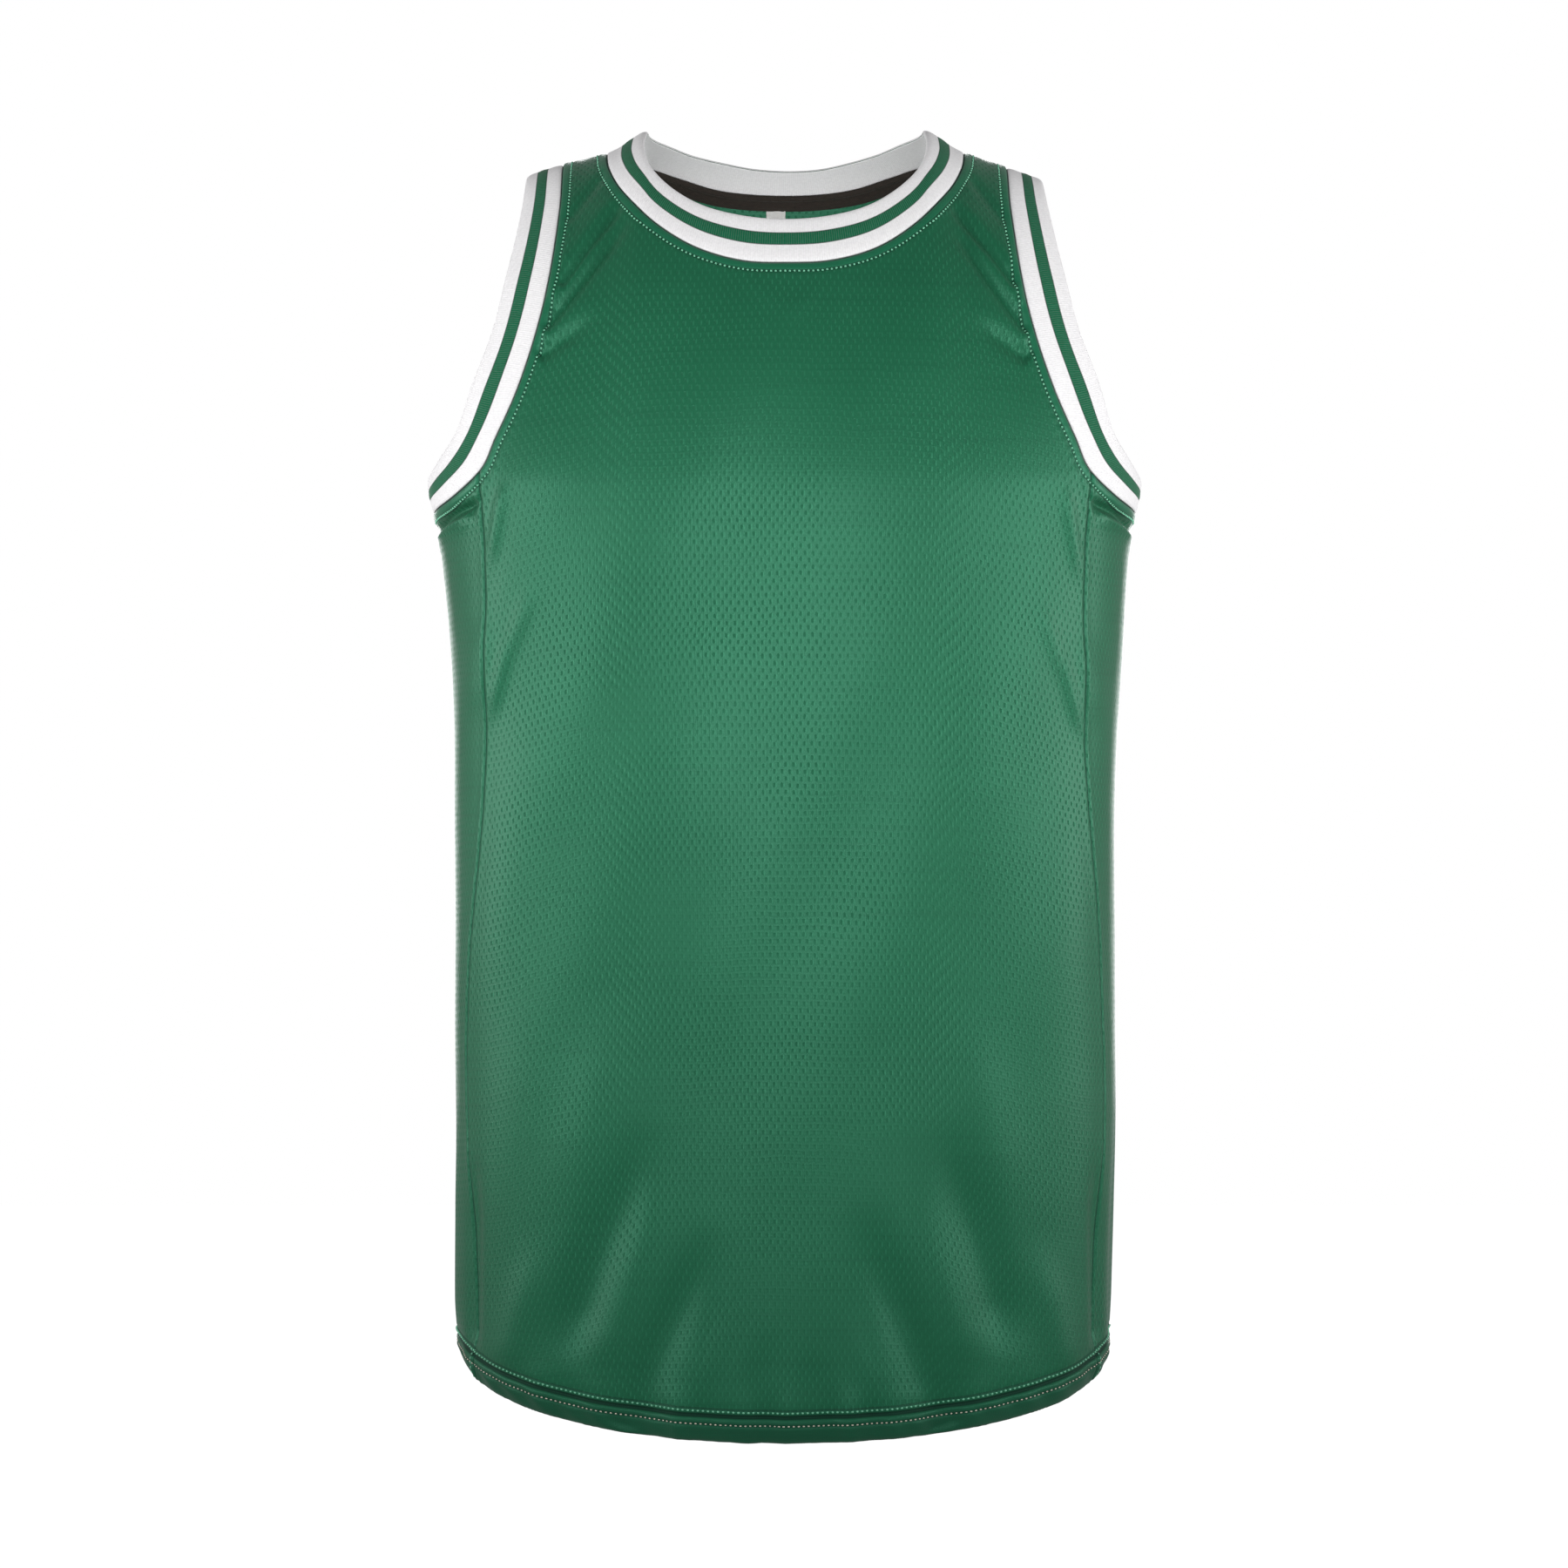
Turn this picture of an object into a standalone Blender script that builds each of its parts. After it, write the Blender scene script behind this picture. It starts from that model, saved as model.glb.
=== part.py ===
"""Sleeveless mesh jersey, filled out and hollow, with nobody in it.

Metres, +Z up. The front faces -Y and the jersey's left side is +X.
The origin is in the middle of the neck opening, level with the high points of the shoulders.

The cloth lies on one rounded form. A place on the form has two coordinates:
  turn   degrees round the form, 0 at the front centre, 90 at the +X side, 180 at the back centre
  drop   metres down the form from the crest of the shoulder, 0 on the crest
Every piece is a grid of such places between its seams, thickened inward into a wall.
"""
import math
from collections import namedtuple

import bmesh
import bpy
from mathutils import Vector

# ---------------------------------------------------------------- driving dimensions
PANEL_WALL = 0.0015
BAND_WALL = 0.0020
TAPE_WALL = 0.0010
LABEL_WALL = 0.0008
SEAM_GAP = 0.0003
HEM_WALL = 0.0024
HEM_TURN = 0.017
LABEL_WIDTH = 0.0115
LABEL_LENGTH = 0.022
LABEL_CENTRE_X = -0.0048
LABEL_CLEARANCE = 0.0006  # from the back panel, whose facets twist a little

SECTION_ROUNDNESS = 2.4   # 2 is an ellipse, more is squarer
CREST_SOFTNESS = 0.05     # how far below the crest the drop turns into plain height
FRONT_SLOPE = 0.240       # height over which the chest swells forward from the crest
FRONT_FULLNESS = 2.5      # 2 is an ellipse, more swells sooner below the crest
BACK_SLOPE = 0.160
BACK_FULLNESS = 5.0
HEM_SIDE_Z = -0.718       # hem at the sides
HEM_DIP = 0.040           # how much lower the hem is at the centre front and back
HEM_SIDE_ROUNDING = 0.10  # softens the hem's turn at the sides

Section = namedtuple("Section", "z half_width front_depth back_depth")
SECTIONS = [
    Section(-0.760, 0.1915, 0.112, 0.116),
    Section(-0.550, 0.1928, 0.112, 0.113),
    Section(-0.469, 0.1933, 0.114, 0.113),
    Section(-0.365, 0.1943, 0.118, 0.117),
    Section(-0.287, 0.1974, 0.1215, 0.122),
    Section(-0.250, 0.2004, 0.1228, 0.124),
    Section(-0.231, 0.2035, 0.1234, 0.1248),
    Section(-0.204, 0.2086, 0.124, 0.126),
    Section(-0.100, 0.2030, 0.1215, 0.126),
    Section(-0.040, 0.1900, 0.118, 0.118),
    Section(0.000, 0.1850, 0.118, 0.118),
]

Crest = namedtuple("Crest", "x z")
SHOULDER_CREST = [
    Crest(0.000, 0.0020),
    Crest(0.080, 0.0000),
    Crest(0.101, -0.0123),
    Crest(0.129, -0.0187),
    Crest(0.146, -0.0250),
    Crest(0.154, -0.0310),
    Crest(0.210, -0.0450),
]

# A band's stations run along its seam; z None is on the crest of the shoulder.
Station = namedtuple("Station", "seam_turn seam_z edge_turn edge_z")
ARMHOLE = [
    Station(53.0, None, 61.8, None),
    Station(53.1, -0.0520, 62.1, -0.0500),
    Station(53.9, -0.0900, 62.8, -0.0860),
    Station(55.9, -0.1250, 64.7, -0.1220),
    Station(58.9, -0.1580, 68.2, -0.1520),
    Station(62.5, -0.1840, 71.3, -0.1785),
    Station(65.6, -0.2030, 76.0, -0.1925),
    Station(72.5, -0.2165, 80.5, -0.2003),
    Station(81.0, -0.2230, 85.2, -0.2048),
    Station(90.0, -0.2250, 90.0, -0.2065),
]
ARMPIT_CORNER = 6         # station of ARMHOLE where the side seam ends
TAPE_STATION = 0.115      # station of ARMHOLE level with the lower edge of the neck tape
NECK_FRONT = [
    Station(0.0, -0.0853, 0.0, -0.0584),
    Station(12.0, -0.0838, 11.2, -0.0566),
    Station(23.7, -0.0758, 21.4, -0.0508),
    Station(33.2, -0.0612, 29.2, -0.0402),
    Station(40.4, -0.0427, 34.6, -0.0265),
    Station(43.9, -0.0270, 36.4, -0.0130),
    Station(45.0, None, 35.9, None),
]
NECK_BACK = [
    Station(0.0, -0.0291, 0.0, -0.0153),
    Station(11.0, -0.0283, 9.5, -0.0144),
    Station(20.5, -0.0262, 18.0, -0.0115),
    Station(29.6, -0.0234, 25.2, -0.0080),
    Station(37.8, -0.0212, 30.8, -0.0037),
    Station(43.4, -0.0180, 34.6, -0.0012),
    Station(45.0, None, 35.9, None),
]

SeamPoint = namedtuple("SeamPoint", "z turn")
SIDE_SEAM = [
    SeamPoint(-0.760, 74.8),
    SeamPoint(-0.660, 75.6),
    SeamPoint(-0.560, 77.0),
    SeamPoint(-0.490, 75.2),
    SeamPoint(-0.400, 70.8),
    SeamPoint(-0.330, 68.2),
    SeamPoint(-0.260, 66.0),
    SeamPoint(-0.203, 65.6),
]

# Largest folds. Height is positive for a ridge and negative for a trough.
Fold = namedtuple("Fold", "face x_top z_top x_bottom z_bottom width height")
FOLDS = [
    Fold("front", -0.086, -0.605, -0.124, -0.690, 0.011, -0.0040),
    Fold("front", -0.049, -0.650, -0.085, -0.735, 0.011, -0.0040),
    Fold("front", -0.073, -0.625, -0.100, -0.700, 0.012, 0.0030),
    Fold("front", 0.098, -0.610, 0.126, -0.680, 0.011, -0.0035),
    Fold("front", 0.052, -0.650, 0.084, -0.735, 0.011, -0.0040),
    Fold("front", 0.072, -0.630, 0.096, -0.690, 0.012, 0.0030),
    Fold("front", -0.170, -0.290, -0.182, -0.345, 0.010, 0.0025),
    Fold("front", 0.171, -0.300, 0.181, -0.350, 0.010, 0.0025),
    Fold("back", -0.110, -0.560, -0.070, -0.690, 0.014, -0.0040),
    Fold("back", 0.120, -0.590, 0.086, -0.710, 0.013, -0.0035),
    Fold("back", -0.040, -0.620, -0.020, -0.730, 0.015, -0.0030),
    Fold("back", 0.030, -0.560, 0.050, -0.680, 0.014, 0.0030),
]

# How finely the pieces are divided
NECK_STEPS = 9            # grid steps over half the front or back neck seam
SHOULDER_STEPS = 3
ARMHOLE_STEPS_PER_STATION = 2
SIDE_SEAM_STEPS = 16
SIDE_PANEL_STEPS = 8
BAND_STEPS = 2
HEM_ROWS = 2              # lowest rows of points of a panel, which are its turned hem
HEM_SPREAD = 0.85        # power that spreads a panel's columns evenly along the hem
EDGE_ANGLE = 50           # degrees; sharper edges are shaded as edges

# name: base colour (linear), roughness
MATERIALS = {
    "green_mesh": ((0.050, 0.215, 0.135), 0.55),
    "white_rib": ((0.830, 0.820, 0.825), 0.75),
    "dark_tape": ((0.030, 0.024, 0.020), 0.80),
    "plain_label": ((0.700, 0.690, 0.680), 0.60),
}


# ---------------------------------------------------------------- curves through table rows
def column(rows, key, value):
    return [(getattr(row, key), getattr(row, value)) for row in rows]


def smooth_value(points, at):
    """Value at a place on a curve through (place, value) points that never overshoots them."""
    if at <= points[0][0]:
        return points[0][1]
    if at >= points[-1][0]:
        return points[-1][1]
    spans = [b[0] - a[0] for a, b in zip(points, points[1:])]
    slopes = [(b[1] - a[1]) / span for a, b, span in zip(points, points[1:], spans)]
    tangents = [slopes[0]]
    for before, after in zip(slopes, slopes[1:]):
        level = before * after <= 0
        tangents.append(0.0 if level else 2 * before * after / (before + after))
    tangents.append(slopes[-1])
    i = next(k for k in range(len(spans)) if at <= points[k + 1][0])
    f = (at - points[i][0]) / spans[i]
    start = (1 + 2 * f) * (1 - f) ** 2 * points[i][1] + f * (1 - f) ** 2 * spans[i] * tangents[i]
    end = f * f * (3 - 2 * f) * points[i + 1][1] + f * f * (f - 1) * spans[i] * tangents[i + 1]
    return start + end


def smooth_place(places, at):
    """Place at a row number, which may be a fraction, on a smooth curve through the inner places.

    The first and last places only steer the curve's ends.
    """
    i = min(int(at), len(places) - 4)
    f = at - i
    p0, p1, p2, p3 = places[i:i + 4]
    return tuple(
        b + 0.5 * f * (c - a + f * (2 * a - 5 * b + 4 * c - d + f * (3 * (b - c) + d - a)))
        for a, b, c, d in zip(p0, p1, p2, p3)
    )


# ---------------------------------------------------------------- the form under the cloth
def section_radius(turn, z):
    """Distance from the middle to the form at a height, with the shoulders left square."""
    back = abs(turn) > 90
    half_width = smooth_value(column(SECTIONS, "z", "half_width"), z)
    depth = smooth_value(column(SECTIONS, "z", "back_depth" if back else "front_depth"), z)
    across = abs(math.sin(math.radians(turn)) / half_width) ** SECTION_ROUNDNESS
    along = abs(math.cos(math.radians(turn)) / depth) ** SECTION_ROUNDNESS
    return (across + along) ** (-1 / SECTION_ROUNDNESS)


def crest_height(turn):
    x = section_radius(turn, 0.0) * abs(math.sin(math.radians(turn)))
    return smooth_value(column(SHOULDER_CREST, "x", "z"), x)


def drop_at(turn, z):
    """Drop of the place at a height; None is the crest itself."""
    below = 0.0 if z is None else max(crest_height(turn) - z, 0.0)
    return math.sqrt(below * (below + 2 * CREST_SOFTNESS))


def height_at(turn, drop):
    return crest_height(turn) - math.hypot(CREST_SOFTNESS, drop) + CREST_SOFTNESS


def form_point(turn, drop):
    z = height_at(turn, drop)
    radius = section_radius(turn, z)
    back = abs(turn) > 90
    slope, fullness = (BACK_SLOPE, BACK_FULLNESS) if back else (FRONT_SLOPE, FRONT_FULLNESS)
    share = min(max((crest_height(turn) - z) / slope, 0.0), 1.0)
    depth_share = math.sqrt(1 - (1 - share) ** fullness)
    angle = math.radians(turn)
    return Vector((radius * math.sin(angle), -radius * math.cos(angle) * depth_share, z))


def form_normal(turn, drop):
    """Outward normal of the form, from two short steps on it that stay on the front or the back."""
    small_turn, small_drop = 0.05, 0.0001
    side = math.copysign(90, turn)
    if abs(turn - side) < small_turn:
        turn = side - small_turn
    along = form_point(turn + small_turn, drop) - form_point(turn - small_turn, drop)
    down = form_point(turn, drop + small_drop) - form_point(turn, drop)
    return down.cross(along).normalized()


def fold_height(point, back):
    """How far the folds lift the cloth off the form, or sink it in."""
    height = 0.0
    for fold in FOLDS:
        if (fold.face == "back") != back:
            continue
        top = Vector((fold.x_top, fold.z_top))
        run = Vector((fold.x_bottom, fold.z_bottom)) - top
        away = Vector((point.x, point.z)) - top
        f = min(max(away.dot(run) / run.length_squared, 0.0), 1.0)
        distance = (away - run * f).length / fold.width
        height += fold.height * math.exp(-distance * distance)
    return height


def cloth_point(place, depth=0.0):
    """Point on the cloth, at a depth under its outer face."""
    turn, drop = place
    point = form_point(turn, drop)
    lift = fold_height(point, abs(turn) > 90)
    return point + form_normal(turn, drop) * (lift - depth)


# ---------------------------------------------------------------- seams, as lists of places
def on_back(place):
    return 180 - place[0], place[1]


def mirrored(place):
    return -place[0], place[1]


def band_rows(stations, side):
    """Places of a band's seam or free edge, one at each station."""
    return [
        (getattr(row, side + "_turn"), drop_at(getattr(row, side + "_turn"), getattr(row, side + "_z")))
        for row in stations
    ]


def over_crest(place):
    return place[0], -place[1]


def armhole_curve(side):
    """Station number to place, from the crest down to the underarm, where the curve runs level."""
    rows = band_rows(ARMHOLE, side)
    places = [over_crest(rows[1])] + rows + [on_back(rows[-2])]
    return lambda at: smooth_place(places, at)


def neck_curve(stations, side):
    """Station number to place, from the centre, where the curve runs level, up to the crest."""
    rows = band_rows(stations, side)
    places = [mirrored(rows[1])] + rows + [over_crest(rows[-2])]
    return lambda at: smooth_place(places, at)


def hem_place(turn):
    """Place on the hem, which curves up to the sides."""
    across = section_radius(turn, HEM_SIDE_Z) * abs(math.sin(math.radians(turn)))
    half_width = smooth_value(column(SECTIONS, "z", "half_width"), HEM_SIDE_Z)
    inward = max(1 - (across / half_width) ** 2, 0.0)
    rise, full_rise = (math.hypot(a, HEM_SIDE_ROUNDING) - HEM_SIDE_ROUNDING for a in (math.sqrt(inward), 1))
    return turn, drop_at(turn, HEM_SIDE_Z - HEM_DIP * rise / full_rise)


def side_seam_turn(z):
    return smooth_value(column(SIDE_SEAM, "z", "turn"), z)


def side_seam_places():
    """Front side seam from the hem up to the armpit corner, with a place at the top of the hem turn."""
    hem_turn_deg = side_seam_turn(HEM_SIDE_Z)
    hem_z = height_at(*hem_place(hem_turn_deg))
    corner_z = ARMHOLE[ARMPIT_CORNER].seam_z
    turn_top_z = hem_z + HEM_TURN
    heights = [hem_z]
    for i in range(SIDE_SEAM_STEPS):
        heights.append(turn_top_z + (corner_z - turn_top_z) * i / (SIDE_SEAM_STEPS - 1))
    return [(side_seam_turn(z), drop_at(side_seam_turn(z), z)) for z in heights]


def steps(first, last, count):
    return [first + (last - first) * i / count for i in range(count + 1)]


def moved_along(place, other, distance):
    """The place moved toward another one by a distance on the form."""
    length = (form_point(*other) - form_point(*place)).length
    f = distance / length
    return tuple(a + (b - a) * f for a, b in zip(place, other))


def moved_round(place, distance):
    """The place moved round the form toward the side by a distance."""
    radius = form_point(*place).xy.length
    return place[0] + math.degrees(distance / radius), place[1]


# ---------------------------------------------------------------- grids of places
def patch(bottom, top, left, right):
    """Grid of places between four edges: rows run from bottom to top, columns from left to right."""
    rows = len(left)
    columns = len(bottom)
    grid = []
    for j in range(rows):
        up = j / (rows - 1)
        row = []
        for i in range(columns):
            f = i / (columns - 1)
            row.append(tuple(
                (1 - up) * bottom[i][k] + up * top[i][k] + (1 - f) * left[j][k] + f * right[j][k]
                - (1 - f) * ((1 - up) * bottom[0][k] + up * top[0][k])
                - f * ((1 - up) * bottom[-1][k] + up * top[-1][k])
                for k in (0, 1)
            ))
        grid.append(row)
    return grid


def half_neck_and_shoulder(neck_stations):
    """Top edge of a panel from the centre to the armhole, half a seam gap inside its own cloth."""
    seam, edge = neck_curve(neck_stations, "seam"), neck_curve(neck_stations, "edge")
    last = len(neck_stations) - 1
    places = []
    for at in steps(0, last, NECK_STEPS):
        places.append(moved_along(seam(at), edge(at), -SEAM_GAP / 2))
    crest_start = places[-1]
    armhole_top = moved_along(armhole_curve("seam")(0), armhole_curve("edge")(0), -SEAM_GAP / 2)
    for turn in steps(crest_start[0], armhole_top[0], SHOULDER_STEPS)[1:]:
        places.append((turn, 0.0))
    return [below_crest(place) for place in places]


def below_crest(place):
    """A place on the crest moves down by half a seam gap."""
    small = 0.001
    fall = (form_point(place[0], small) - form_point(place[0], 0.0)).length / small
    return place[0], max(place[1], SEAM_GAP / 2 / fall)


def armhole_seam_of_panel(at):
    seam, edge = armhole_curve("seam")(at), armhole_curve("edge")(at)
    return moved_along(seam, edge, -SEAM_GAP / 2)


def armhole_steps():
    """Stations from the crest down to the armpit corner, with one level with the neck tape."""
    return sorted(steps(0, ARMPIT_CORNER, ARMPIT_CORNER * ARMHOLE_STEPS_PER_STATION) + [TAPE_STATION])


def panel_side_edge():
    """Right edge of the front panel from the hem to the crest."""
    seam = [moved_round(place, -SEAM_GAP / 2) for place in side_seam_places()]
    armhole = [armhole_seam_of_panel(at) for at in reversed(armhole_steps())]
    corner = (seam[-1][0], armhole[0][1])
    top = below_crest(armhole[-1])
    return seam[:-1] + [corner] + armhole[1:-1] + [top]


def panel_grid(neck_stations):
    """Front panel's places; the back panel's are the same with its own neck, turned round."""
    right = panel_side_edge()
    half_top = half_neck_and_shoulder(neck_stations)
    half_top[-1] = right[-1]
    widest = form_point(*half_top[-1]).x
    shares = [form_point(*place).x / widest for place in half_top[:-1]]
    half_hem = [hem_place(right[0][0] * share ** HEM_SPREAD) for share in shares] + [right[0]]
    top = [mirrored(place) for place in reversed(half_top[1:])] + half_top
    bottom = [mirrored(place) for place in reversed(half_hem[1:])] + half_hem
    return patch(bottom, top, [mirrored(place) for place in right], right)


def side_panel_grid():
    """Side panel on the +X side, from the front side seam round to the back one."""
    left = [moved_round(place, SEAM_GAP / 2) for place in side_seam_places()]
    half_top = []
    last = len(ARMHOLE) - 1
    for at in steps(ARMPIT_CORNER, last, SIDE_PANEL_STEPS // 2):
        half_top.append(armhole_seam_of_panel(at))
    half_top[0] = (left[-1][0], half_top[0][1])
    left[-1] = half_top[0]
    right = [on_back(place) for place in left]
    top = half_top + [on_back(place) for place in reversed(half_top[:-1])]
    bottom = [hem_place(turn) for turn in steps(left[0][0], right[0][0], SIDE_PANEL_STEPS)]
    return patch(bottom, top, left, right)


def band_grid(seam_places, edge_places):
    """Rows run across the band from the seam to the free edge."""
    grid = []
    for j in range(BAND_STEPS + 1):
        row = []
        for seam, edge in zip(seam_places, edge_places):
            start = moved_along(seam, edge, SEAM_GAP / 2)
            f = j / BAND_STEPS
            row.append(tuple(a + (b - a) * f for a, b in zip(start, edge)))
        grid.append(row)
    return grid


def armhole_ring(side):
    """Closed ring of places round the +X armhole, from the crest down the front and up the back."""
    curve = armhole_curve(side)
    last = len(ARMHOLE) - 1
    half = [curve(at) for at in armhole_steps()]
    half += [curve(at) for at in steps(ARMPIT_CORNER, last, SIDE_PANEL_STEPS // 2)[1:]]
    return half + [on_back(place) for place in reversed(half[1:-1])]


def neck_ring(side):
    """Closed ring of places round the neck, from the front centre past +X to the back and round."""
    front, back = neck_curve(NECK_FRONT, side), neck_curve(NECK_BACK, side)
    half = [front(at) for at in steps(0, len(NECK_FRONT) - 1, NECK_STEPS)]
    half += [on_back(back(at)) for at in steps(len(NECK_BACK) - 1, 0, NECK_STEPS)[1:]]
    return half + [mirrored(place) for place in reversed(half[1:-1])]


# ---------------------------------------------------------------- solids
def grid_points(grid, depth):
    """Points on a grid of places at a depth under the outer face; depth may depend on the row."""
    return [[cloth_point(place, depth(j)) for place in row] for j, row in enumerate(grid)]


def on_facets(points, row, across):
    """Point on the flat facets between a grid's points, at fractional row and column numbers."""
    j = min(int(row), len(points) - 2)
    i = min(int(across), len(points[0]) - 2)
    f, g = row - j, across - i
    low = points[j][i].lerp(points[j][i + 1], g)
    high = points[j + 1][i].lerp(points[j + 1][i + 1], g)
    return low.lerp(high, f)


def wall_object(name, material, outer, inner, closed=False):
    """Closed wall between two grids of points; a closed grid joins its last column to its first."""
    builder = bmesh.new()
    outer = [[builder.verts.new(point) for point in row] for row in outer]
    inner = [[builder.verts.new(point) for point in row] for row in inner]
    columns = len(outer[0])
    spans = columns if closed else columns - 1
    for j in range(len(outer) - 1):
        for i in range(spans):
            n = (i + 1) % columns
            builder.faces.new((outer[j][i], outer[j][n], outer[j + 1][n], outer[j + 1][i]))
            builder.faces.new((inner[j][i], inner[j + 1][i], inner[j + 1][n], inner[j][n]))
    for i in range(spans):
        n = (i + 1) % columns
        builder.faces.new((outer[0][i], inner[0][i], inner[0][n], outer[0][n]))
        builder.faces.new((outer[-1][i], outer[-1][n], inner[-1][n], inner[-1][i]))
    if not closed:
        for j in range(len(outer) - 1):
            builder.faces.new((outer[j][0], outer[j + 1][0], inner[j + 1][0], inner[j][0]))
            builder.faces.new((outer[j][-1], inner[j][-1], inner[j + 1][-1], outer[j + 1][-1]))
    bmesh.ops.recalc_face_normals(builder, faces=builder.faces)
    bmesh.ops.triangulate(builder, faces=builder.faces)
    mesh = bpy.data.meshes.new(name)
    builder.to_mesh(mesh)
    builder.free()
    mesh.shade_smooth()
    mesh.set_sharp_from_angle(angle=math.radians(EDGE_ANGLE))
    mesh.materials.append(material)
    obj = bpy.data.objects.new(name, mesh)
    bpy.context.collection.objects.link(obj)


def outer_depth(row):
    return 0.0


def panel_depth(row):
    """Depth of a panel's inner face; the turned hem is thicker."""
    return HEM_WALL if row < HEM_ROWS else PANEL_WALL


def band_depth(row):
    return BAND_WALL


def turned(grid, move):
    return [[move(place) for place in row] for row in grid]


def make_panels(green):
    front = panel_grid(NECK_FRONT)
    back = turned(panel_grid(NECK_BACK), on_back)
    side = side_panel_grid()
    for name, grid in (
        ("front_panel", front),
        ("back_panel", back),
        ("side_panel_left", side),
        ("side_panel_right", turned(side, mirrored)),
    ):
        wall_object(name, green, grid_points(grid, outer_depth), grid_points(grid, panel_depth))
    return back


def make_bands(white):
    armhole = band_grid(armhole_ring("seam"), armhole_ring("edge"))
    neck = band_grid(neck_ring("seam"), neck_ring("edge"))
    for name, grid in (
        ("armhole_band_left", armhole),
        ("armhole_band_right", turned(armhole, mirrored)),
        ("neck_band", neck),
    ):
        outer, inner = grid_points(grid, outer_depth), grid_points(grid, band_depth)
        wall_object(name, white, outer, inner, closed=True)


def lining_faces(back_grid, clearance, wall):
    """The back panel's points moved inward, for the two faces of what lies on its inner side."""
    near = PANEL_WALL + clearance
    return [grid_points(back_grid, lambda row: depth) for depth in (near, near + wall)]


def make_tape(dark, back_grid):
    """Tape inside the back panel along its neck seam, from shoulder to shoulder."""
    middle = len(back_grid[0]) // 2
    first, last = middle - NECK_STEPS, middle + NECK_STEPS
    strip = [row[first:last + 1] for row in back_grid[-2:]]
    wall_object("neck_tape", dark, *lining_faces(strip, SEAM_GAP, TAPE_WALL))


def rows_down(points, distance, column_number):
    """Row number at a distance below the last row but one."""
    row = len(points) - 2
    while True:
        high, low = points[row][column_number], points[row - 1][column_number]
        length = (high - low).length
        if length >= distance:
            return row - distance / length
        distance -= length
        row -= 1


def make_label(pale, back_grid):
    """Plain label inside the back panel, sewn in under the tape."""
    middle = len(back_grid[0]) // 2
    faces = []
    for points in lining_faces(back_grid, LABEL_CLEARANCE, LABEL_WALL):
        step = (points[-2][middle + 1] - points[-2][middle]).length
        left = middle + (LABEL_CENTRE_X - LABEL_WIDTH / 2) / step
        right = middle + (LABEL_CENTRE_X + LABEL_WIDTH / 2) / step
        top = rows_down(points, SEAM_GAP, middle)
        bottom = rows_down(points, SEAM_GAP + LABEL_LENGTH, middle)
        levels = [bottom] + [float(j) for j in range(int(bottom) + 1, int(top) + 1)] + [top]
        faces.append([[on_facets(points, j, i) for i in (left, middle, right)] for j in levels])
    wall_object("neck_label", pale, *faces)


def make_material(name):
    colour, roughness = MATERIALS[name]
    material = bpy.data.materials.new(name)
    material.use_nodes = True
    shader = material.node_tree.nodes["Principled BSDF"]
    shader.inputs["Base Color"].default_value = (*colour, 1.0)
    shader.inputs["Roughness"].default_value = roughness
    shader.inputs["Metallic"].default_value = 0.0
    return material


def build():
    for obj in list(bpy.data.objects):
        bpy.data.objects.remove(obj, do_unlink=True)
    back_grid = make_panels(make_material("green_mesh"))
    make_bands(make_material("white_rib"))
    make_tape(make_material("dark_tape"), back_grid)
    make_label(make_material("plain_label"), back_grid)


build()
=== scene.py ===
"""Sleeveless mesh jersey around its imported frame: fine cloth, seams, stitching, stage and camera.

Metres, +Z up. The front faces -Y and the jersey's left side is +X.
A place on the form under the cloth is (turn, drop): degrees round the form, with 0 at the front
centre and 90 at the +X side, and metres down from the crest of the shoulder.
"""

import math
from collections import namedtuple
from functools import partialmethod

import bpy
import numpy as np
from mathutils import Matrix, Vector, kdtree


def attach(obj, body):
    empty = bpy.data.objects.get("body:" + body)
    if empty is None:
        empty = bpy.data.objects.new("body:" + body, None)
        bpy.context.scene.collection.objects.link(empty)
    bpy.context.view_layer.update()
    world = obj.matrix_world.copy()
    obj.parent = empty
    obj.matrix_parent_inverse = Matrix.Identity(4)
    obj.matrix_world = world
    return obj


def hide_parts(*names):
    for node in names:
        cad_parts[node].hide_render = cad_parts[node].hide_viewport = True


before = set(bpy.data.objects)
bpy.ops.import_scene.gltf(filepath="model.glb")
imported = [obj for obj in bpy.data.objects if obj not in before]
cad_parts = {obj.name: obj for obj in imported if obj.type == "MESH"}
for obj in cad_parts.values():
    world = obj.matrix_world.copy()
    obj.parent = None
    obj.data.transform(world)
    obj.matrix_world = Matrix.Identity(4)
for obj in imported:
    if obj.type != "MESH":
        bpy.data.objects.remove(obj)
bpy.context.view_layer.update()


def table(columns, *rows):
    """Rows of a table, with its columns named."""
    kind = namedtuple("Row", columns)
    return [kind(*row) for row in rows]


# -------- the form, as the solids have it
SECTION_ROUNDNESS = 2.4
CREST_SOFTNESS = 0.05
FRONT_SLOPE, FRONT_FULLNESS = 0.240, 2.5
BACK_SLOPE, BACK_FULLNESS = 0.160, 5.0
HEM_SIDE_Z = -0.718
HEM_DIP = 0.040
HEM_SIDE_ROUNDING = 0.10

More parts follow.
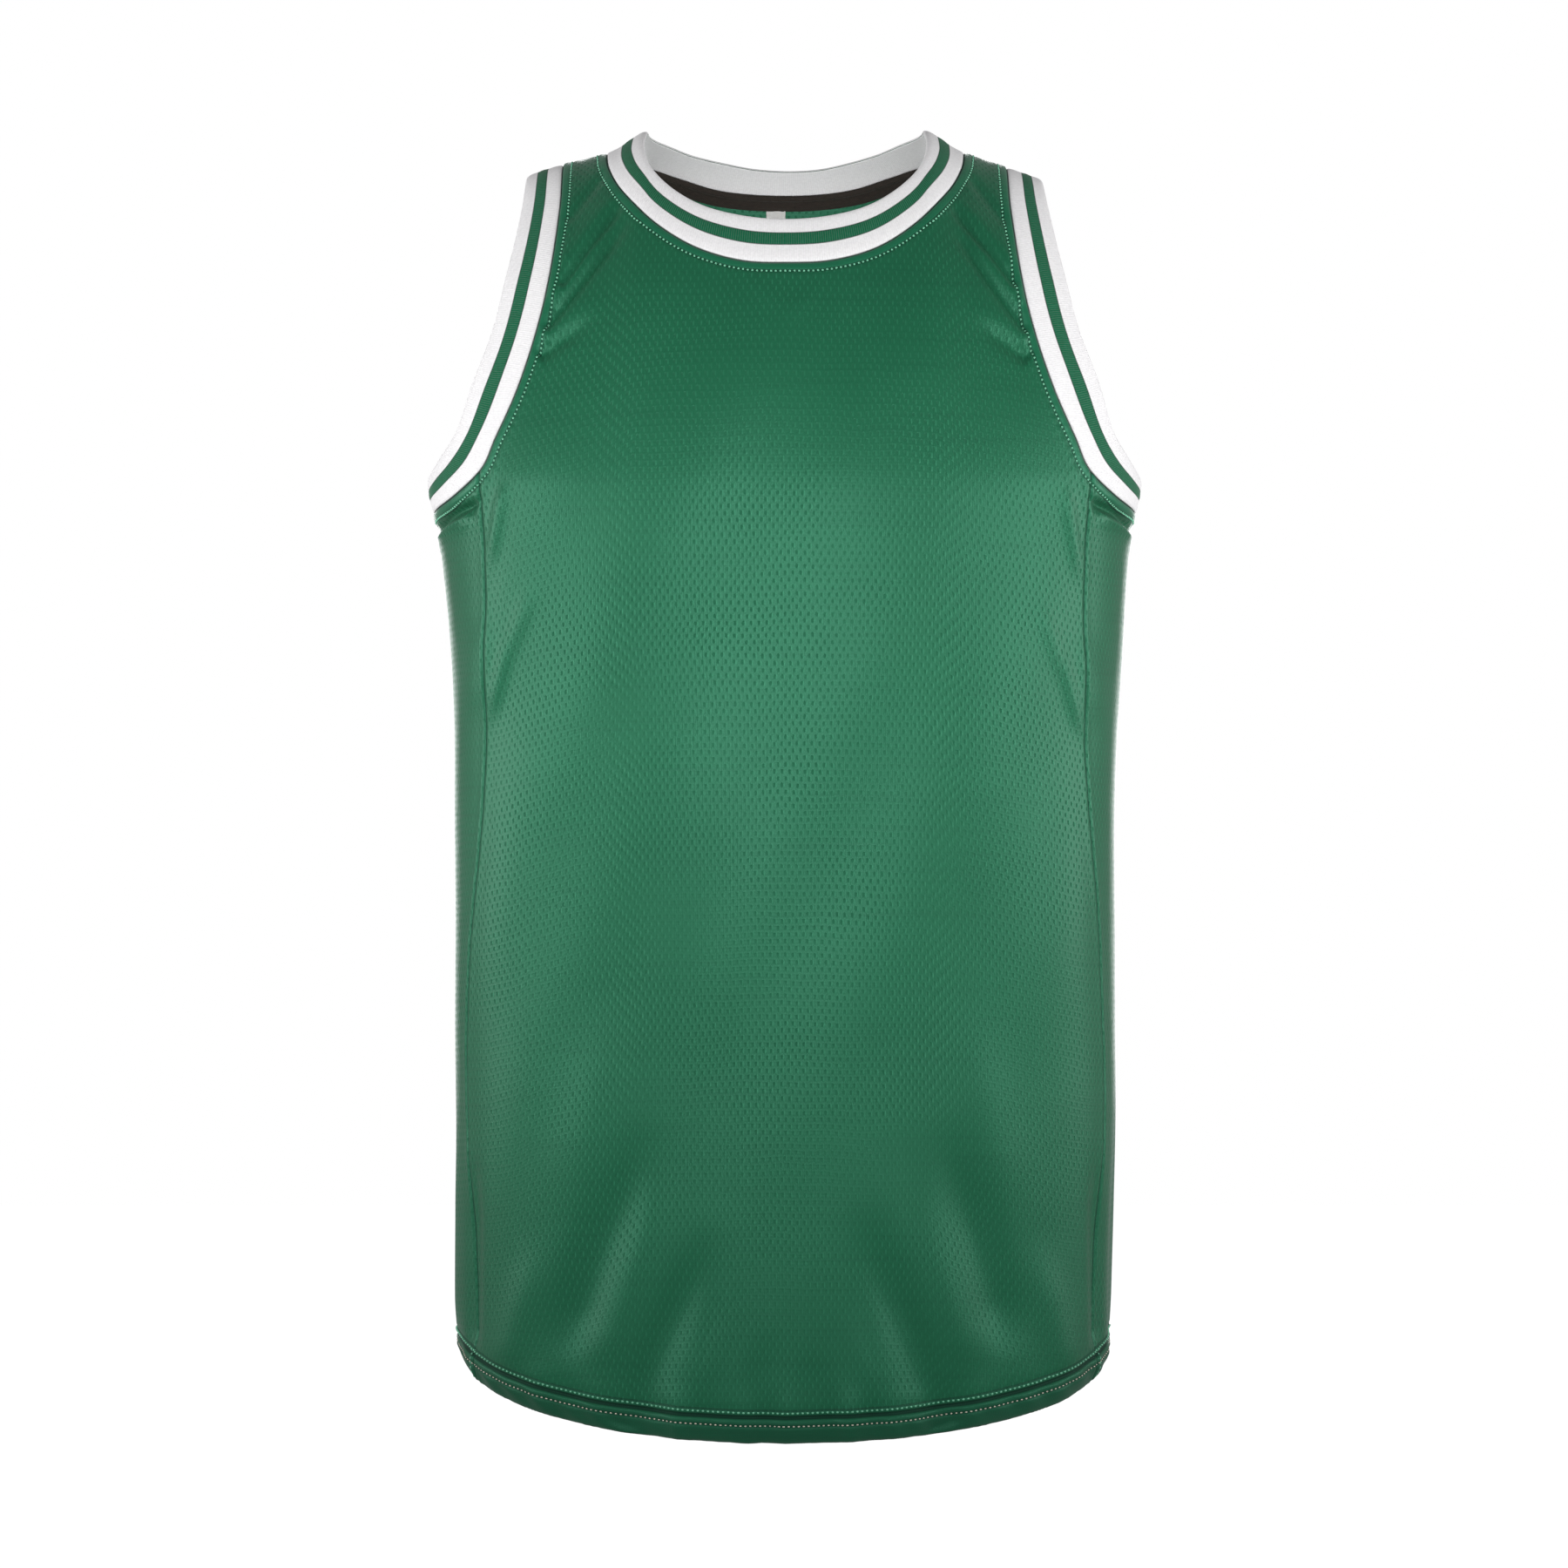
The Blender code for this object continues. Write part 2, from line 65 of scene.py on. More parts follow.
SECTIONS = table(
    "z half_width front_depth back_depth",
    (-0.760, 0.1915, 0.112, 0.116),
    (-0.550, 0.1928, 0.112, 0.113),
    (-0.469, 0.1933, 0.114, 0.113),
    (-0.365, 0.1943, 0.118, 0.117),
    (-0.287, 0.1974, 0.1215, 0.122),
    (-0.250, 0.2004, 0.1228, 0.124),
    (-0.231, 0.2035, 0.1234, 0.1248),
    (-0.204, 0.2086, 0.124, 0.126),
    (-0.100, 0.2030, 0.1215, 0.126),
    (-0.040, 0.1900, 0.118, 0.118),
    (0.000, 0.1850, 0.118, 0.118),
)
SHOULDER_CREST = table(
    "x z",
    (0.000, 0.0020),
    (0.080, 0.0000),
    (0.101, -0.0123),
    (0.129, -0.0210),
    (0.146, -0.0266),
    (0.154, -0.0310),
    (0.210, -0.0450),
)
STATION = "seam_turn seam_z edge_turn edge_z"     # a band's two edges; no z is on the crest
ARMHOLE = table(
    STATION,
    (54.0, None, 61.8, None),
    (53.7, -0.0520, 62.1, -0.0500),
    (53.9, -0.0900, 62.8, -0.0860),
    (55.9, -0.1250, 64.7, -0.1220),
    (58.9, -0.1580, 68.2, -0.1520),
    (62.5, -0.1840, 71.3, -0.1785),
    (65.6, -0.2030, 76.0, -0.1925),
    (72.5, -0.2165, 80.5, -0.2003),
    (81.0, -0.2230, 85.2, -0.2048),
    (90.0, -0.2250, 90.0, -0.2065),
)
ARMPIT_CORNER = 6           # the station where the side seam ends
NECK_FRONT = table(
    STATION,
    (0.0, -0.0853, 0.0, -0.0584),
    (12.0, -0.0838, 11.2, -0.0566),
    (23.7, -0.0758, 21.4, -0.0508),
    (33.2, -0.0612, 29.2, -0.0402),
    (40.4, -0.0427, 34.6, -0.0265),
    (43.9, -0.0270, 36.4, -0.0130),
    (45.0, None, 35.9, None),
)
NECK_BACK = table(
    STATION,
    (0.0, -0.0302, 0.0, -0.0153),
    (11.0, -0.0294, 9.5, -0.0144),
    (20.5, -0.0266, 18.0, -0.0115),
    (29.6, -0.0204, 25.2, -0.0080),
    (37.2, -0.0146, 30.8, -0.0037),
    (42.5, -0.0138, 34.6, -0.0012),
    (45.0, None, 35.9, None),
)
ARMHOLE_END, NECK_END = len(ARMHOLE) - 1, len(NECK_FRONT) - 1
SIDE_SEAM = table(
    "z turn",
    (-0.760, 74.8), (-0.660, 75.6), (-0.560, 77.0), (-0.490, 75.2),
    (-0.400, 70.8), (-0.330, 68.5), (-0.260, 66.9), (-0.203, 65.6),
)

# Folds run along a line seen from their face: across and z in millimetres, where across is x on the
# front and the back, and y on the sides. Height is positive for a ridge and negative for a trough.
# A fold rises over the first part of its length and dies out over the last, in shares of it.
MM = 0.001
FOLD = "across_top z_top across_bottom z_bottom width height rise fall"
FOLDS = {
    "front": (
        # the largest, which the solids have too
        (-78, -570, -130, -720, 13, -5.2, 0.50, 0.25),
        (-40, -630, -92, -755, 11, -5.0, 0.50, 0.05),
        (-62, -590, -110, -725, 12, 1.8, 0.50, 0.20),
        (88, -570, 131, -715, 13, -4.8, 0.50, 0.25),
        (40, -620, 92, -755, 11, -5.0, 0.50, 0.05),
        (58, -590, 108, -725, 12, 1.8, 0.50, 0.20),
        (-170, -280, -182, -350, 10, 2.5, 0.40, 0.40),
        (171, -290, 181, -355, 10, 2.5, 0.40, 0.40),
        # more of them, fanned out over the hem
        (-98, -500, -132, -640, 16, 1.5, 0.50, 0.40),
        (100, -500, 136, -650, 16, 1.5, 0.50, 0.40),
        (-36, -680, -62, -760, 8, 1.4, 0.50, 0.05),
        (36, -680, 66, -760, 8, 1.4, 0.50, 0.05),
        (-8, -690, -20, -760, 9, -1.6, 0.50, 0.05),
        (14, -700, 24, -760, 8, -1.4, 0.50, 0.05),
        (-140, -640, -165, -725, 10, 1.8, 0.50, 0.20),
        (142, -640, 165, -725, 10, 1.8, 0.50, 0.20),
        # along the side seams: a groove low down, and thin ridges under the armholes
        (-180, -590, -181.8, -714, 4.0, -3.6, 0.40, 0.10),
        (180, -590, 181.8, -714, 4.0, -3.6, 0.40, 0.10),
        (-160.5, -208, -170, -262, 3.6, 2.0, 0.30, 0.40),
        (-142, -266, -159, -306, 4.4, 1.4, 0.50, 0.05),
        (-158.5, -302, -172.5, -352, 3.8, 1.9, 0.10, 0.50),
        (160, -210, 169.8, -270, 3.6, 2.0, 0.30, 0.40),
        (144, -275, 160, -318, 4.4, 1.4, 0.50, 0.05),
        (159.5, -312, 173, -362, 3.8, 1.8, 0.10, 0.50),
        # creases from the shoulders to the armholes, with a ridge beside each
        (-90, -42, -130, -98, 2.8, -3.2, 0.30, 0.05),
        (-96, -42, -130, -85, 6.0, 1.3, 0.30, 0.10),
        (-85, -52, -139, -123, 3.4, -3.6, 0.40, 0.05),
        (-98, -60, -136, -106, 6.8, 1.5, 0.40, 0.05),
        (-102, -26, -127, -60, 3.2, -1.6, 0.30, 0.10),
        (-106, -114, -142, -138, 4.6, -3.0, 0.60, 0.02),
        (-92, -92, -140, -129, 8.5, 1.3, 0.50, 0.05),
        (92, -44, 133, -98, 2.8, -3.2, 0.30, 0.05),
        (99, -44, 133, -86, 6.0, 1.3, 0.30, 0.10),
        (93, -60, 140, -124.5, 3.4, -3.6, 0.40, 0.05),
        (103, -68, 138, -107, 6.8, 1.5, 0.40, 0.05),
        (104, -27, 128, -61, 3.2, -1.6, 0.30, 0.10),
        (106, -117, 140, -139.5, 4.6, -3.0, 0.60, 0.02),
        (93, -96, 139, -130, 8.5, 1.3, 0.50, 0.05),
        # under the front of the neck
        (-22, -91, -6, -112, 4.5, 0.7, 0.40, 0.40),
        (21, -93, 1, -122, 4.5, 0.7, 0.40, 0.40),
    ),
    "back": (
        # over the hem
        (-116, -530, -64, -710, 15, -4.5, 0.45, 0.25),
        (126, -560, 80, -730, 14, -4.0, 0.45, 0.25),
        (-44, -590, -16, -750, 15, -3.5, 0.50, 0.10),
        (24, -530, 56, -710, 14, 3.0, 0.50, 0.25),
        (0, -640, 6, -755, 12, 2.0, 0.50, 0.10),
        (-150, -620, -160, -725, 11, 2.0, 0.50, 0.20),
        (150, -640, 162, -725, 10, -1.6, 0.50, 0.20),
        # along the side seams
        (-179.5, -600, -181.2, -712, 3.6, -2.0, 0.40, 0.10),
        (179.5, -580, 181.2, -712, 3.6, -2.2, 0.40, 0.10),
        # beside the armholes
        (-96, -50, -138, -112, 4.5, -2.4, 0.40, 0.05),
        (-106, -52, -137, -98, 5.5, 1.8, 0.40, 0.05),
        (94, -48, 137, -105, 4.5, -2.5, 0.40, 0.05),
        (104, -50, 136, -93, 5.5, 1.8, 0.40, 0.05),
        (104, -112, 140, -132, 5.0, -2.0, 0.50, 0.05),
    ),
    # over the hem, and slack cloth under the armhole bands
    "left": (
        (-20, -560, -12, -720, 11, -2.0, 0.50, 0.15),
        (24, -540, 18, -715, 12, 1.8, 0.50, 0.20),
        (-94, -216.5, -14, -238, 2.8, -5.4, 0.20, 0.30),
        (-30, -234, 22, -236.5, 3.4, -2.0, 0.30, 0.40),
        (-90, -222.5, 0, -246, 3.2, 2.2, 0.20, 0.40),
        (26, -232, 90, -213, 3.6, -2.8, 0.40, 0.25),
    ),
    "right": (
        (-22, -550, -16, -715, 12, 1.8, 0.50, 0.20),
        (22, -560, 16, -720, 11, -2.0, 0.50, 0.15),
        (-94, -217, -14, -238.5, 2.8, -5.4, 0.20, 0.30),
        (-30, -234.5, 22, -236.5, 3.4, -2.0, 0.30, 0.40),
        (-90, -223, 2, -246.5, 3.2, 2.2, 0.20, 0.40),
        (30, -231.5, 92, -212.5, 3.6, -2.8, 0.40, 0.25),
    ),
}
SIDE_FOLDS_FROM, SIDE_FOLDS_FULL = 65.0, 70.0   # degrees round from the front or back centre

RIPPLES = table(            # very low waves of the whole cloth
    "wave_x wave_y wave_z phase height",
    (0.190, 0.400, 0.310, 0.4, 0.0006),
    (0.110, 0.230, -0.260, 2.1, 0.0004),
    (-0.085, 0.170, 0.150, 4.0, 0.0003),
)

# -------- cloth and seams
CLOTH_WALL = 0.0010
HEM_WALL = 0.0019
HEM_TURN = 0.017
UNDERLAP = 0.0012           # how far the panels run on under the bands
CREST_BLEND = 0.012         # over which the surface turns upright toward the crest

BAND_SEAM_RELIEF = table(   # across a panel, from where it goes under a band
    "distance height",
    (-0.0012, -0.0015), (-0.0004, -0.0011), (0.0003, -0.0003), (0.0012, 0.0004),
    (0.0025, 0.0006), (0.0043, 0.0005), (0.0051, 0.0001), (0.0056, -0.0002),
    (0.0062, 0.0000), (0.0075, 0.0003), (0.0120, 0.0000),
)
PLAIN_SEAM_RELIEF = table(
    "distance height",
    (0.0000, -0.0006), (0.0007, -0.0002), (0.0015, 0.0002),
    (0.0024, 0.0004), (0.0040, 0.0002), (0.0070, 0.0000),
)
HEM_RELIEF = table(         # the turned hem curls inward below its lower stitches
    "distance height",
    (0.0000, -0.0040), (0.0012, -0.0028), (0.0045, -0.0011), (0.0080, 0.0000),
    (0.0095, -0.0003), (0.0108, 0.0003), (0.0125, 0.0003), (0.0145, -0.0014),
    (0.0160, -0.0001), (0.0170, 0.0000), (0.0182, -0.0003), (0.0210, 0.0001),
    (0.0280, 0.0000),
)
HEM_GROOVE = 0.0145         # up to the dark groove between the two rows of stitches
BAND_STITCH_DISTANCE = 0.0056
HEM_STITCH_ROWS = {"upper": 0.0170, "lower": 0.0095}
SEAM_REACH = 0.05           # how far from a seam its distance is passed on to the materials

# Small waves that sewing leaves in the cloth: their height, length and place, in metres
BAND_PUCKER, BAND_PUCKER_LENGTH = 0.00016, 0.0058
BAND_PUCKER_MIDDLE, BAND_PUCKER_REACH = 0.0065, 0.0035
BAND_PUCKER_DRIFT, BAND_PUCKER_DRIFT_LENGTH = 1.5, 0.021    # radians, and metres a radian
JOIN_PUCKER, JOIN_PUCKER_LENGTH, JOIN_PUCKER_REACH = 0.0001, 0.031, 0.005
HEM_SLACK_FULL, HEM_SLACK_END = 0.010, 0.034                # up from the hem's edge
HEM_SLACK_AT_SIDES = 0.25                                   # a share of that at front and back
HEM_SLACK = table("height count phase", (0.0012, 23, 0.6), (0.0008, 37, 2.0))
HEM_EDGE_WAVE, HEM_EDGE_COUNT, HEM_EDGE_LEAN = 0.0005, 61, 0.0035
HEM_EDGE_MIDDLE, HEM_EDGE_REACH = 0.006, 0.006

# -------- how finely the pieces are divided
NECK_STEPS = 62             # over half the front or back neck seam
SHOULDER_STEPS = 28
BODY_ROW_STEP = 0.0054      # metres between rows below the armholes
CHEST_ROW_STEP = 0.0020     # and beside them
FINE_STEP = 0.0009          # metres between rows along seams and hem
HEM_FINE, ARMPIT_FINE, SHOULDER_FINE = 0.022, 0.018, 0.012      # how far those rows go on
EDGE_PULL = 6               # power of a column's share of the width, for its bend
SHOULDER_EASE, SIDE_EASE, HEM_EASE = 1.5, 1.35, 0.85            # powers that space the columns
HEM_BY_WIDTH = 0.7          # hem columns follow the top's width, and for the rest its length
SIDE_COLUMNS = 92
ARMHOLE_RING_STEPS, NECK_RING_STEPS = 170, 90
RING_STEPS = 22             # across a band, on its outer side
LINE_STEPS = 400            # along a seam's curve before it is divided by length
HEM_LINE_STEPS, HEM_STITCH_STEPS = 800, 2000
SEAM_SAMPLES = 1400
SMALL_TURN, SMALL_DROP = np.array([0.05, 0.0]), np.array([0.0, 0.0001])     # for slopes
GIRTH_Z = -0.40             # where the length round the form is measured for the knit

# -------- the photograph's view
CAMERA_PLACE = (-0.00077, -3.6, -0.383)
SENSOR = 36.0
METRES_PER_PIXEL = 0.5113e-3     # at the form's middle, 3.6 m from the camera
IMAGE_WIDTH = 1800


def make_camera():
    camera = bpy.data.cameras.new("camera")
    camera.sensor_width = SENSOR
    camera.lens = SENSOR * -CAMERA_PLACE[1] / (IMAGE_WIDTH * METRES_PER_PIXEL)
    camera.clip_end = 60.0
    obj = bpy.data.objects.new("camera", camera)
    obj.location = CAMERA_PLACE
    obj.rotation_euler = (math.radians(90), 0.0, 0.0)
    bpy.context.scene.collection.objects.link(obj)
    bpy.context.scene.camera = obj


# -------- curves through table rows
def smooth_value(rows, value, at):
    """Values on a curve through a table's rows, by the first column, that never overshoots them."""
    x = np.array([row[0] for row in rows])
    y = np.array([getattr(row, value) for row in rows])
    span = np.diff(x)
    slope = np.diff(y) / span
    before, after = slope[:-1], slope[1:]
    level = before * after <= 0
    inner = np.where(level, 0.0, 2 * before * after / np.where(level, 1.0, before + after))
    tangent = np.concatenate([slope[:1], inner, slope[-1:]])
    at = np.clip(at, x[0], x[-1])
    i = np.clip(np.searchsorted(x, at, side="right") - 1, 0, len(span) - 1)
    f = (at - x[i]) / span[i]
    start = (1 + 2 * f) * (1 - f) ** 2 * y[i] + f * (1 - f) ** 2 * span[i] * tangent[i]
    end = f * f * (3 - 2 * f) * y[i + 1] + f * f * (f - 1) * span[i] * tangent[i + 1]
    return start + end


def smooth_place(places, at):
    """Places at row numbers on a smooth curve; the first and last places only steer its ends."""
    at = np.asarray(at, float)
    i = np.minimum(at.astype(int), len(places) - 4)
    f = (at - i)[:, None]
    a, b, c, d = (places[i + k] for k in range(4))
    return b + 0.5 * f * (c - a + f * (2 * a - 5 * b + 4 * c - d + f * (3 * (b - c) + d - a)))


def smooth_step(low, high, value):
    f = np.clip((value - low) / (high - low), 0.0, 1.0)
    return f * f * (3 - 2 * f)


# -------- the form under the cloth
def section_radius(turn, z):
    turn, z = np.broadcast_arrays(np.asarray(turn, float), np.asarray(z, float))
    half_width = smooth_value(SECTIONS, "half_width", z)
    back_depth = smooth_value(SECTIONS, "back_depth", z)
    depth = np.where(np.abs(turn) > 90, back_depth, smooth_value(SECTIONS, "front_depth", z))
    across = np.abs(np.sin(np.radians(turn)) / half_width) ** SECTION_ROUNDNESS
    along = np.abs(np.cos(np.radians(turn)) / depth) ** SECTION_ROUNDNESS
    return (across + along) ** (-1 / SECTION_ROUNDNESS)


def crest_height(turn):
    x = section_radius(turn, 0.0) * np.abs(np.sin(np.radians(turn)))
    return smooth_value(SHOULDER_CREST, "z", x)


def drop_at(turn, z):
    below = np.maximum(crest_height(turn) - z, 0.0)
    return np.sqrt(below * (below + 2 * CREST_SOFTNESS))


def height_at(turn, drop):
    return crest_height(turn) - np.hypot(CREST_SOFTNESS, drop) + CREST_SOFTNESS


def form_point(places):
    turn, drop = places[..., 0], places[..., 1]
    z = height_at(turn, drop)
    radius = section_radius(turn, z)
    back = np.abs(turn) > 90
    slope = np.where(back, BACK_SLOPE, FRONT_SLOPE)
    fullness = np.where(back, BACK_FULLNESS, FRONT_FULLNESS)
    share = np.clip((crest_height(turn) - z) / slope, 0.0, 1.0)
    depth_share = np.sqrt(np.maximum(1 - (1 - share) ** fullness, 0.0))
    angle = np.radians(turn)
    return np.stack([radius * np.sin(angle), -radius * np.cos(angle) * depth_share, z], axis=-1)


def unit(vectors):
    return vectors / np.linalg.norm(vectors, axis=-1, keepdims=True)


def form_normal(places):
    """Outward normals of the form, upright on the crest so that front and back meet there."""
    turn, small = places[..., 0], SMALL_TURN[0]
    near_side = np.abs(np.abs(turn) - 90) < small
    shift = np.where(near_side, np.sign(turn) * 90 - small - turn, 0.0)
    places = places + shift[..., None] * np.array([1.0, 0.0])
    along = form_point(places + SMALL_TURN) - form_point(places - SMALL_TURN)
    down = form_point(places + SMALL_DROP) - form_point(places)
    normal = unit(np.cross(down, along))
    normal[..., 1] *= smooth_step(0.0, CREST_BLEND, np.abs(places[..., 1]))
    return unit(normal)


# -------- seams, as places
def on_back(places):
    return places * [-1, 1] + [180, 0]


def mirrored(places):
    return places * [-1, 1]


def band_rows(stations, side):
    """Turn and height of each station, on the crest where the table gives no height."""
    rows = []
    for row in stations:
        turn, z = getattr(row, side + "_turn"), getattr(row, side + "_z")
        rows.append((turn, float(crest_height(turn)) if z is None else z))
    return np.array(rows)


def with_drops(rows):
    return np.stack([rows[:, 0], drop_at(rows[:, 0], rows[:, 1])], axis=-1)


def armhole_curve(side, at):
    rows = band_rows(ARMHOLE, side)
    return with_drops(smooth_place(np.vstack([2 * rows[0] - rows[1], rows, on_back(rows[-2])]), at))


def neck_curve(stations, side, at):
    rows = band_rows(stations, side)
    rows = np.vstack([mirrored(rows[1]), rows, 2 * rows[-1] - rows[-2]])
    return with_drops(smooth_place(rows, at))


def toward_crest(last, count):
    """Station numbers up to the last, closer together where a seam crosses the crest there."""
    return last * (1 - (1 - np.linspace(0, 1, count)) ** 2)


def from_crest(last, count):
    return last - toward_crest(last, count)[::-1]


def hem_place(turn):
    across = section_radius(turn, HEM_SIDE_Z) * np.abs(np.sin(np.radians(turn)))
    half_width = smooth_value(SECTIONS, "half_width", HEM_SIDE_Z)
    inward = np.maximum(1 - (across / half_width) ** 2, 0.0)
    rise = np.hypot(np.sqrt(inward), HEM_SIDE_ROUNDING) - HEM_SIDE_ROUNDING
    full_rise = math.hypot(1, HEM_SIDE_ROUNDING) - HEM_SIDE_ROUNDING
    return np.stack([turn, drop_at(turn, HEM_SIDE_Z - HEM_DIP * rise / full_rise)], axis=-1)


def moved_along(places, others, distance):
    """Places moved toward other ones by a distance on the form."""
    length = np.linalg.norm(form_point(others) - form_point(places), axis=-1, keepdims=True)
    return places + (others - places) * distance / length


def under_armhole_band(at):
    return moved_along(armhole_curve("seam", at), armhole_curve("edge", at), UNDERLAP)


def under_neck_band(stations, at):
    seam, edge = neck_curve(stations, "seam", at), neck_curve(stations, "edge", at)
    return moved_along(seam, edge, UNDERLAP)


def spaced(length, fine_start, fine_end, step):
    """Shares of a length, a step apart but close together over a distance at each end."""
    start = np.arange(0.0, fine_start, FINE_STEP)
    end = length - np.arange(0.0, fine_end, FINE_STEP)[::-1]
    middle_length = end[0] - start[-1]
    middle = np.linspace(start[-1], end[0], max(int(middle_length / step), 1) + 1)[1:-1]
    return np.concatenate([start, middle, end]) / length


def side_seam_places():
    """Front side seam from the hem to where it goes under the armhole band."""
    hem_turn = smooth_value(SIDE_SEAM, "turn", HEM_SIDE_Z)
    hem_z = float(height_at(hem_turn, hem_place(hem_turn)[1]))
    corner_z = ARMHOLE[ARMPIT_CORNER].seam_z
    z = hem_z + (corner_z - hem_z) * spaced(corner_z - hem_z, HEM_FINE, ARMPIT_FINE, BODY_ROW_STEP)
    turn = smooth_value(SIDE_SEAM, "turn", z)
    places = np.stack([turn, drop_at(turn, z)], axis=-1)
    places[-1] = under_armhole_band([float(ARMPIT_CORNER)])[0]
    return places


def patch(bottom, top, left, right, left_pull, right_pull):
    """Grid of places between four edges: rows run from bottom to top, columns from left to right.

    The pulls are shares from 0 to 1: how far each column bends as the left or right edge does.
    """
    up = line_length(form_point(right))[:, None, None]
    up = up / up[-1]
    rows = (1 - up) * bottom[None] + up * top[None]
    left_bend = left[:, None] - rows[:, :1]
    right_bend = right[:, None] - rows[:, -1:]
    return rows + left_pull[:, None] * left_bend + right_pull[:, None] * right_bend


def at_shares(line, shares):
    """Places at shares of the length of a finely divided line."""
    points = form_point(line)
    return along_line(points, line, shares * line_length(points)[-1])


def panel_side_edge():
    seam = side_seam_places()
    armhole = under_armhole_band(ARMPIT_CORNER - toward_crest(ARMPIT_CORNER, LINE_STEPS))
    length = line_length(form_point(armhole))[-1]
    shares = spaced(length, FINE_STEP, SHOULDER_FINE, CHEST_ROW_STEP)
    return np.vstack([seam, at_shares(armhole, shares)[1:]])


def panel_places(neck_stations):
    """Front panel's places; the back panel's are the same with its own neck, turned round."""
    right = panel_side_edge()
    neck = under_neck_band(neck_stations, toward_crest(NECK_END, LINE_STEPS))
    neck = at_shares(neck, np.linspace(0, 1, NECK_STEPS + 1))
    shoulder_share = 1 - (1 - np.linspace(0, 1, SHOULDER_STEPS + 1)) ** SHOULDER_EASE
    shoulder = neck[-1] + (right[-1] - neck[-1]) * shoulder_share[:, None]
    half_top = np.vstack([neck, shoulder[1:]])
    points = form_point(half_top)
    across, along = points[:, 0] / points[-1, 0], line_length(points)
    hem_share = HEM_BY_WIDTH * across + (1 - HEM_BY_WIDTH) * along / along[-1]
    half_hem = hem_place(right[0][0] * hem_share ** HEM_EASE)
    top = np.vstack([mirrored(half_top[:0:-1]), half_top])
    bottom = np.vstack([mirrored(half_hem[:0:-1]), half_hem])
    # only columns near the armhole bend with it, so that none crosses another under the neck's end
    pull = np.concatenate([np.zeros(len(points) - 1), across ** EDGE_PULL])
    return patch(bottom, top, mirrored(right), right, pull[::-1], pull)


def side_panel_places():
    left = side_seam_places()
    ease = np.linspace(0, 1, SIDE_COLUMNS // 2 + 1) ** SIDE_EASE
    half_top = under_armhole_band(ARMPIT_CORNER + (ARMHOLE_END - ARMPIT_CORNER) * ease)
    half_turn = left[0][0] + (90 - left[0][0]) * ease
    bottom = hem_place(np.concatenate([half_turn, 180 - half_turn[-2::-1]]))
    top = np.vstack([half_top, on_back(half_top[-2::-1])])
    pull = 1 - np.concatenate([ease / 2, 1 - ease[-2::-1] / 2])
    return patch(bottom, top, left, on_back(left), pull, pull[::-1])


def armhole_ring(side, count):
    half = armhole_curve(side, from_crest(ARMHOLE_END, count))
    return np.vstack([half, on_back(half[-2:0:-1])])


def neck_ring(side, count):
    front = neck_curve(NECK_FRONT, side, toward_crest(NECK_END, count))
    back = on_back(neck_curve(NECK_BACK, side, toward_crest(NECK_END, count)[::-1]))
    half = np.vstack([front, back[1:]])
    return np.vstack([half, mirrored(half[-2:0:-1])])


# -------- relief of the cloth
def line_length(points):
    steps = np.linalg.norm(np.diff(points, axis=0), axis=-1)
    return np.concatenate([[0.0], np.cumsum(steps)])


def along_line(points, values, at):
    """Values that go with a line's points, at distances along it."""
    length = line_length(points)
    return np.stack([np.interp(at, length, column) for column in values.T], axis=-1)


def evenly(points, count):
    """Points at even steps along a line through points."""
    return along_line(points, points, np.linspace(0.0, line_length(points)[-1], count))


class SeamLines:
    """Nearest distance to a set of lines on the form, and the place along them."""

    def __init__(self, lines):
        lines = [evenly(form_point(line), SEAM_SAMPLES) for line in lines]
        self.along = np.concatenate([
            np.arange(len(line)) * np.linalg.norm(line[1] - line[0]) for line in lines
        ])
        points = np.vstack(lines)
        self.tree = kdtree.KDTree(len(points))
        for i, point in enumerate(points):
            self.tree.insert(point, i)
        self.tree.balance()

    def nearest(self, points):
        found = [self.tree.find(point)[1:] for point in points.reshape(-1, 3)]
        index, distance = np.array(found).T
        along = self.along[index.astype(int)]
        return distance.reshape(points.shape[:-1]), along.reshape(points.shape[:-1])


def make_seam_lines():
    """Lines where the panels go under the bands, where they are joined, and along the hem."""
    armhole = under_armhole_band(from_crest(ARMHOLE_END, LINE_STEPS))
    ring = np.vstack([armhole, on_back(armhole[-2::-1])])
    at = toward_crest(NECK_END, LINE_STEPS)
    necks = [under_neck_band(NECK_FRONT, at), on_back(under_neck_band(NECK_BACK, at))]
    side = side_seam_places()
    shoulder = np.vstack([necks[0][-1], armhole[0]])
    hem = hem_place(np.linspace(-180, 180, HEM_LINE_STEPS))

    def both(lines):
        return lines + [mirrored(line) for line in lines]

    return (
        SeamLines(both([ring] + necks)),
        SeamLines(both([side, on_back(side), shoulder])),
        SeamLines([hem]),
    )


def fold_height(points, turn):
    height = np.zeros(points.shape[:-1])
    side_turn = 90 - np.abs(90 - np.abs(turn))
    on_side = smooth_step(SIDE_FOLDS_FROM, SIDE_FOLDS_FULL, side_turn)
    shares = {
        "front": np.abs(turn) <= 90,
        "back": np.abs(turn) > 90,
        "left": on_side * (points[..., 0] > 0),
        "right": on_side * (points[..., 0] < 0),
    }
    for face, folds in FOLDS.items():
        across = 0 if face in ("front", "back") else 1
        seen = points[..., [across, 2]] / MM
        for fold in table(FOLD, *folds):
            top = np.array([fold.across_top, fold.z_top])
            run = np.array([fold.across_bottom, fold.z_bottom]) - top
            away = seen - top
            f = away @ run / (run @ run)
            distance = np.linalg.norm(away - f[..., None] * run, axis=-1) / fold.width
            taper = smooth_step(0.0, fold.rise, f) * smooth_step(0.0, fold.fall, 1 - f)
            height += fold.height * MM * taper * np.exp(-distance ** 2) * shares[face]
    return height


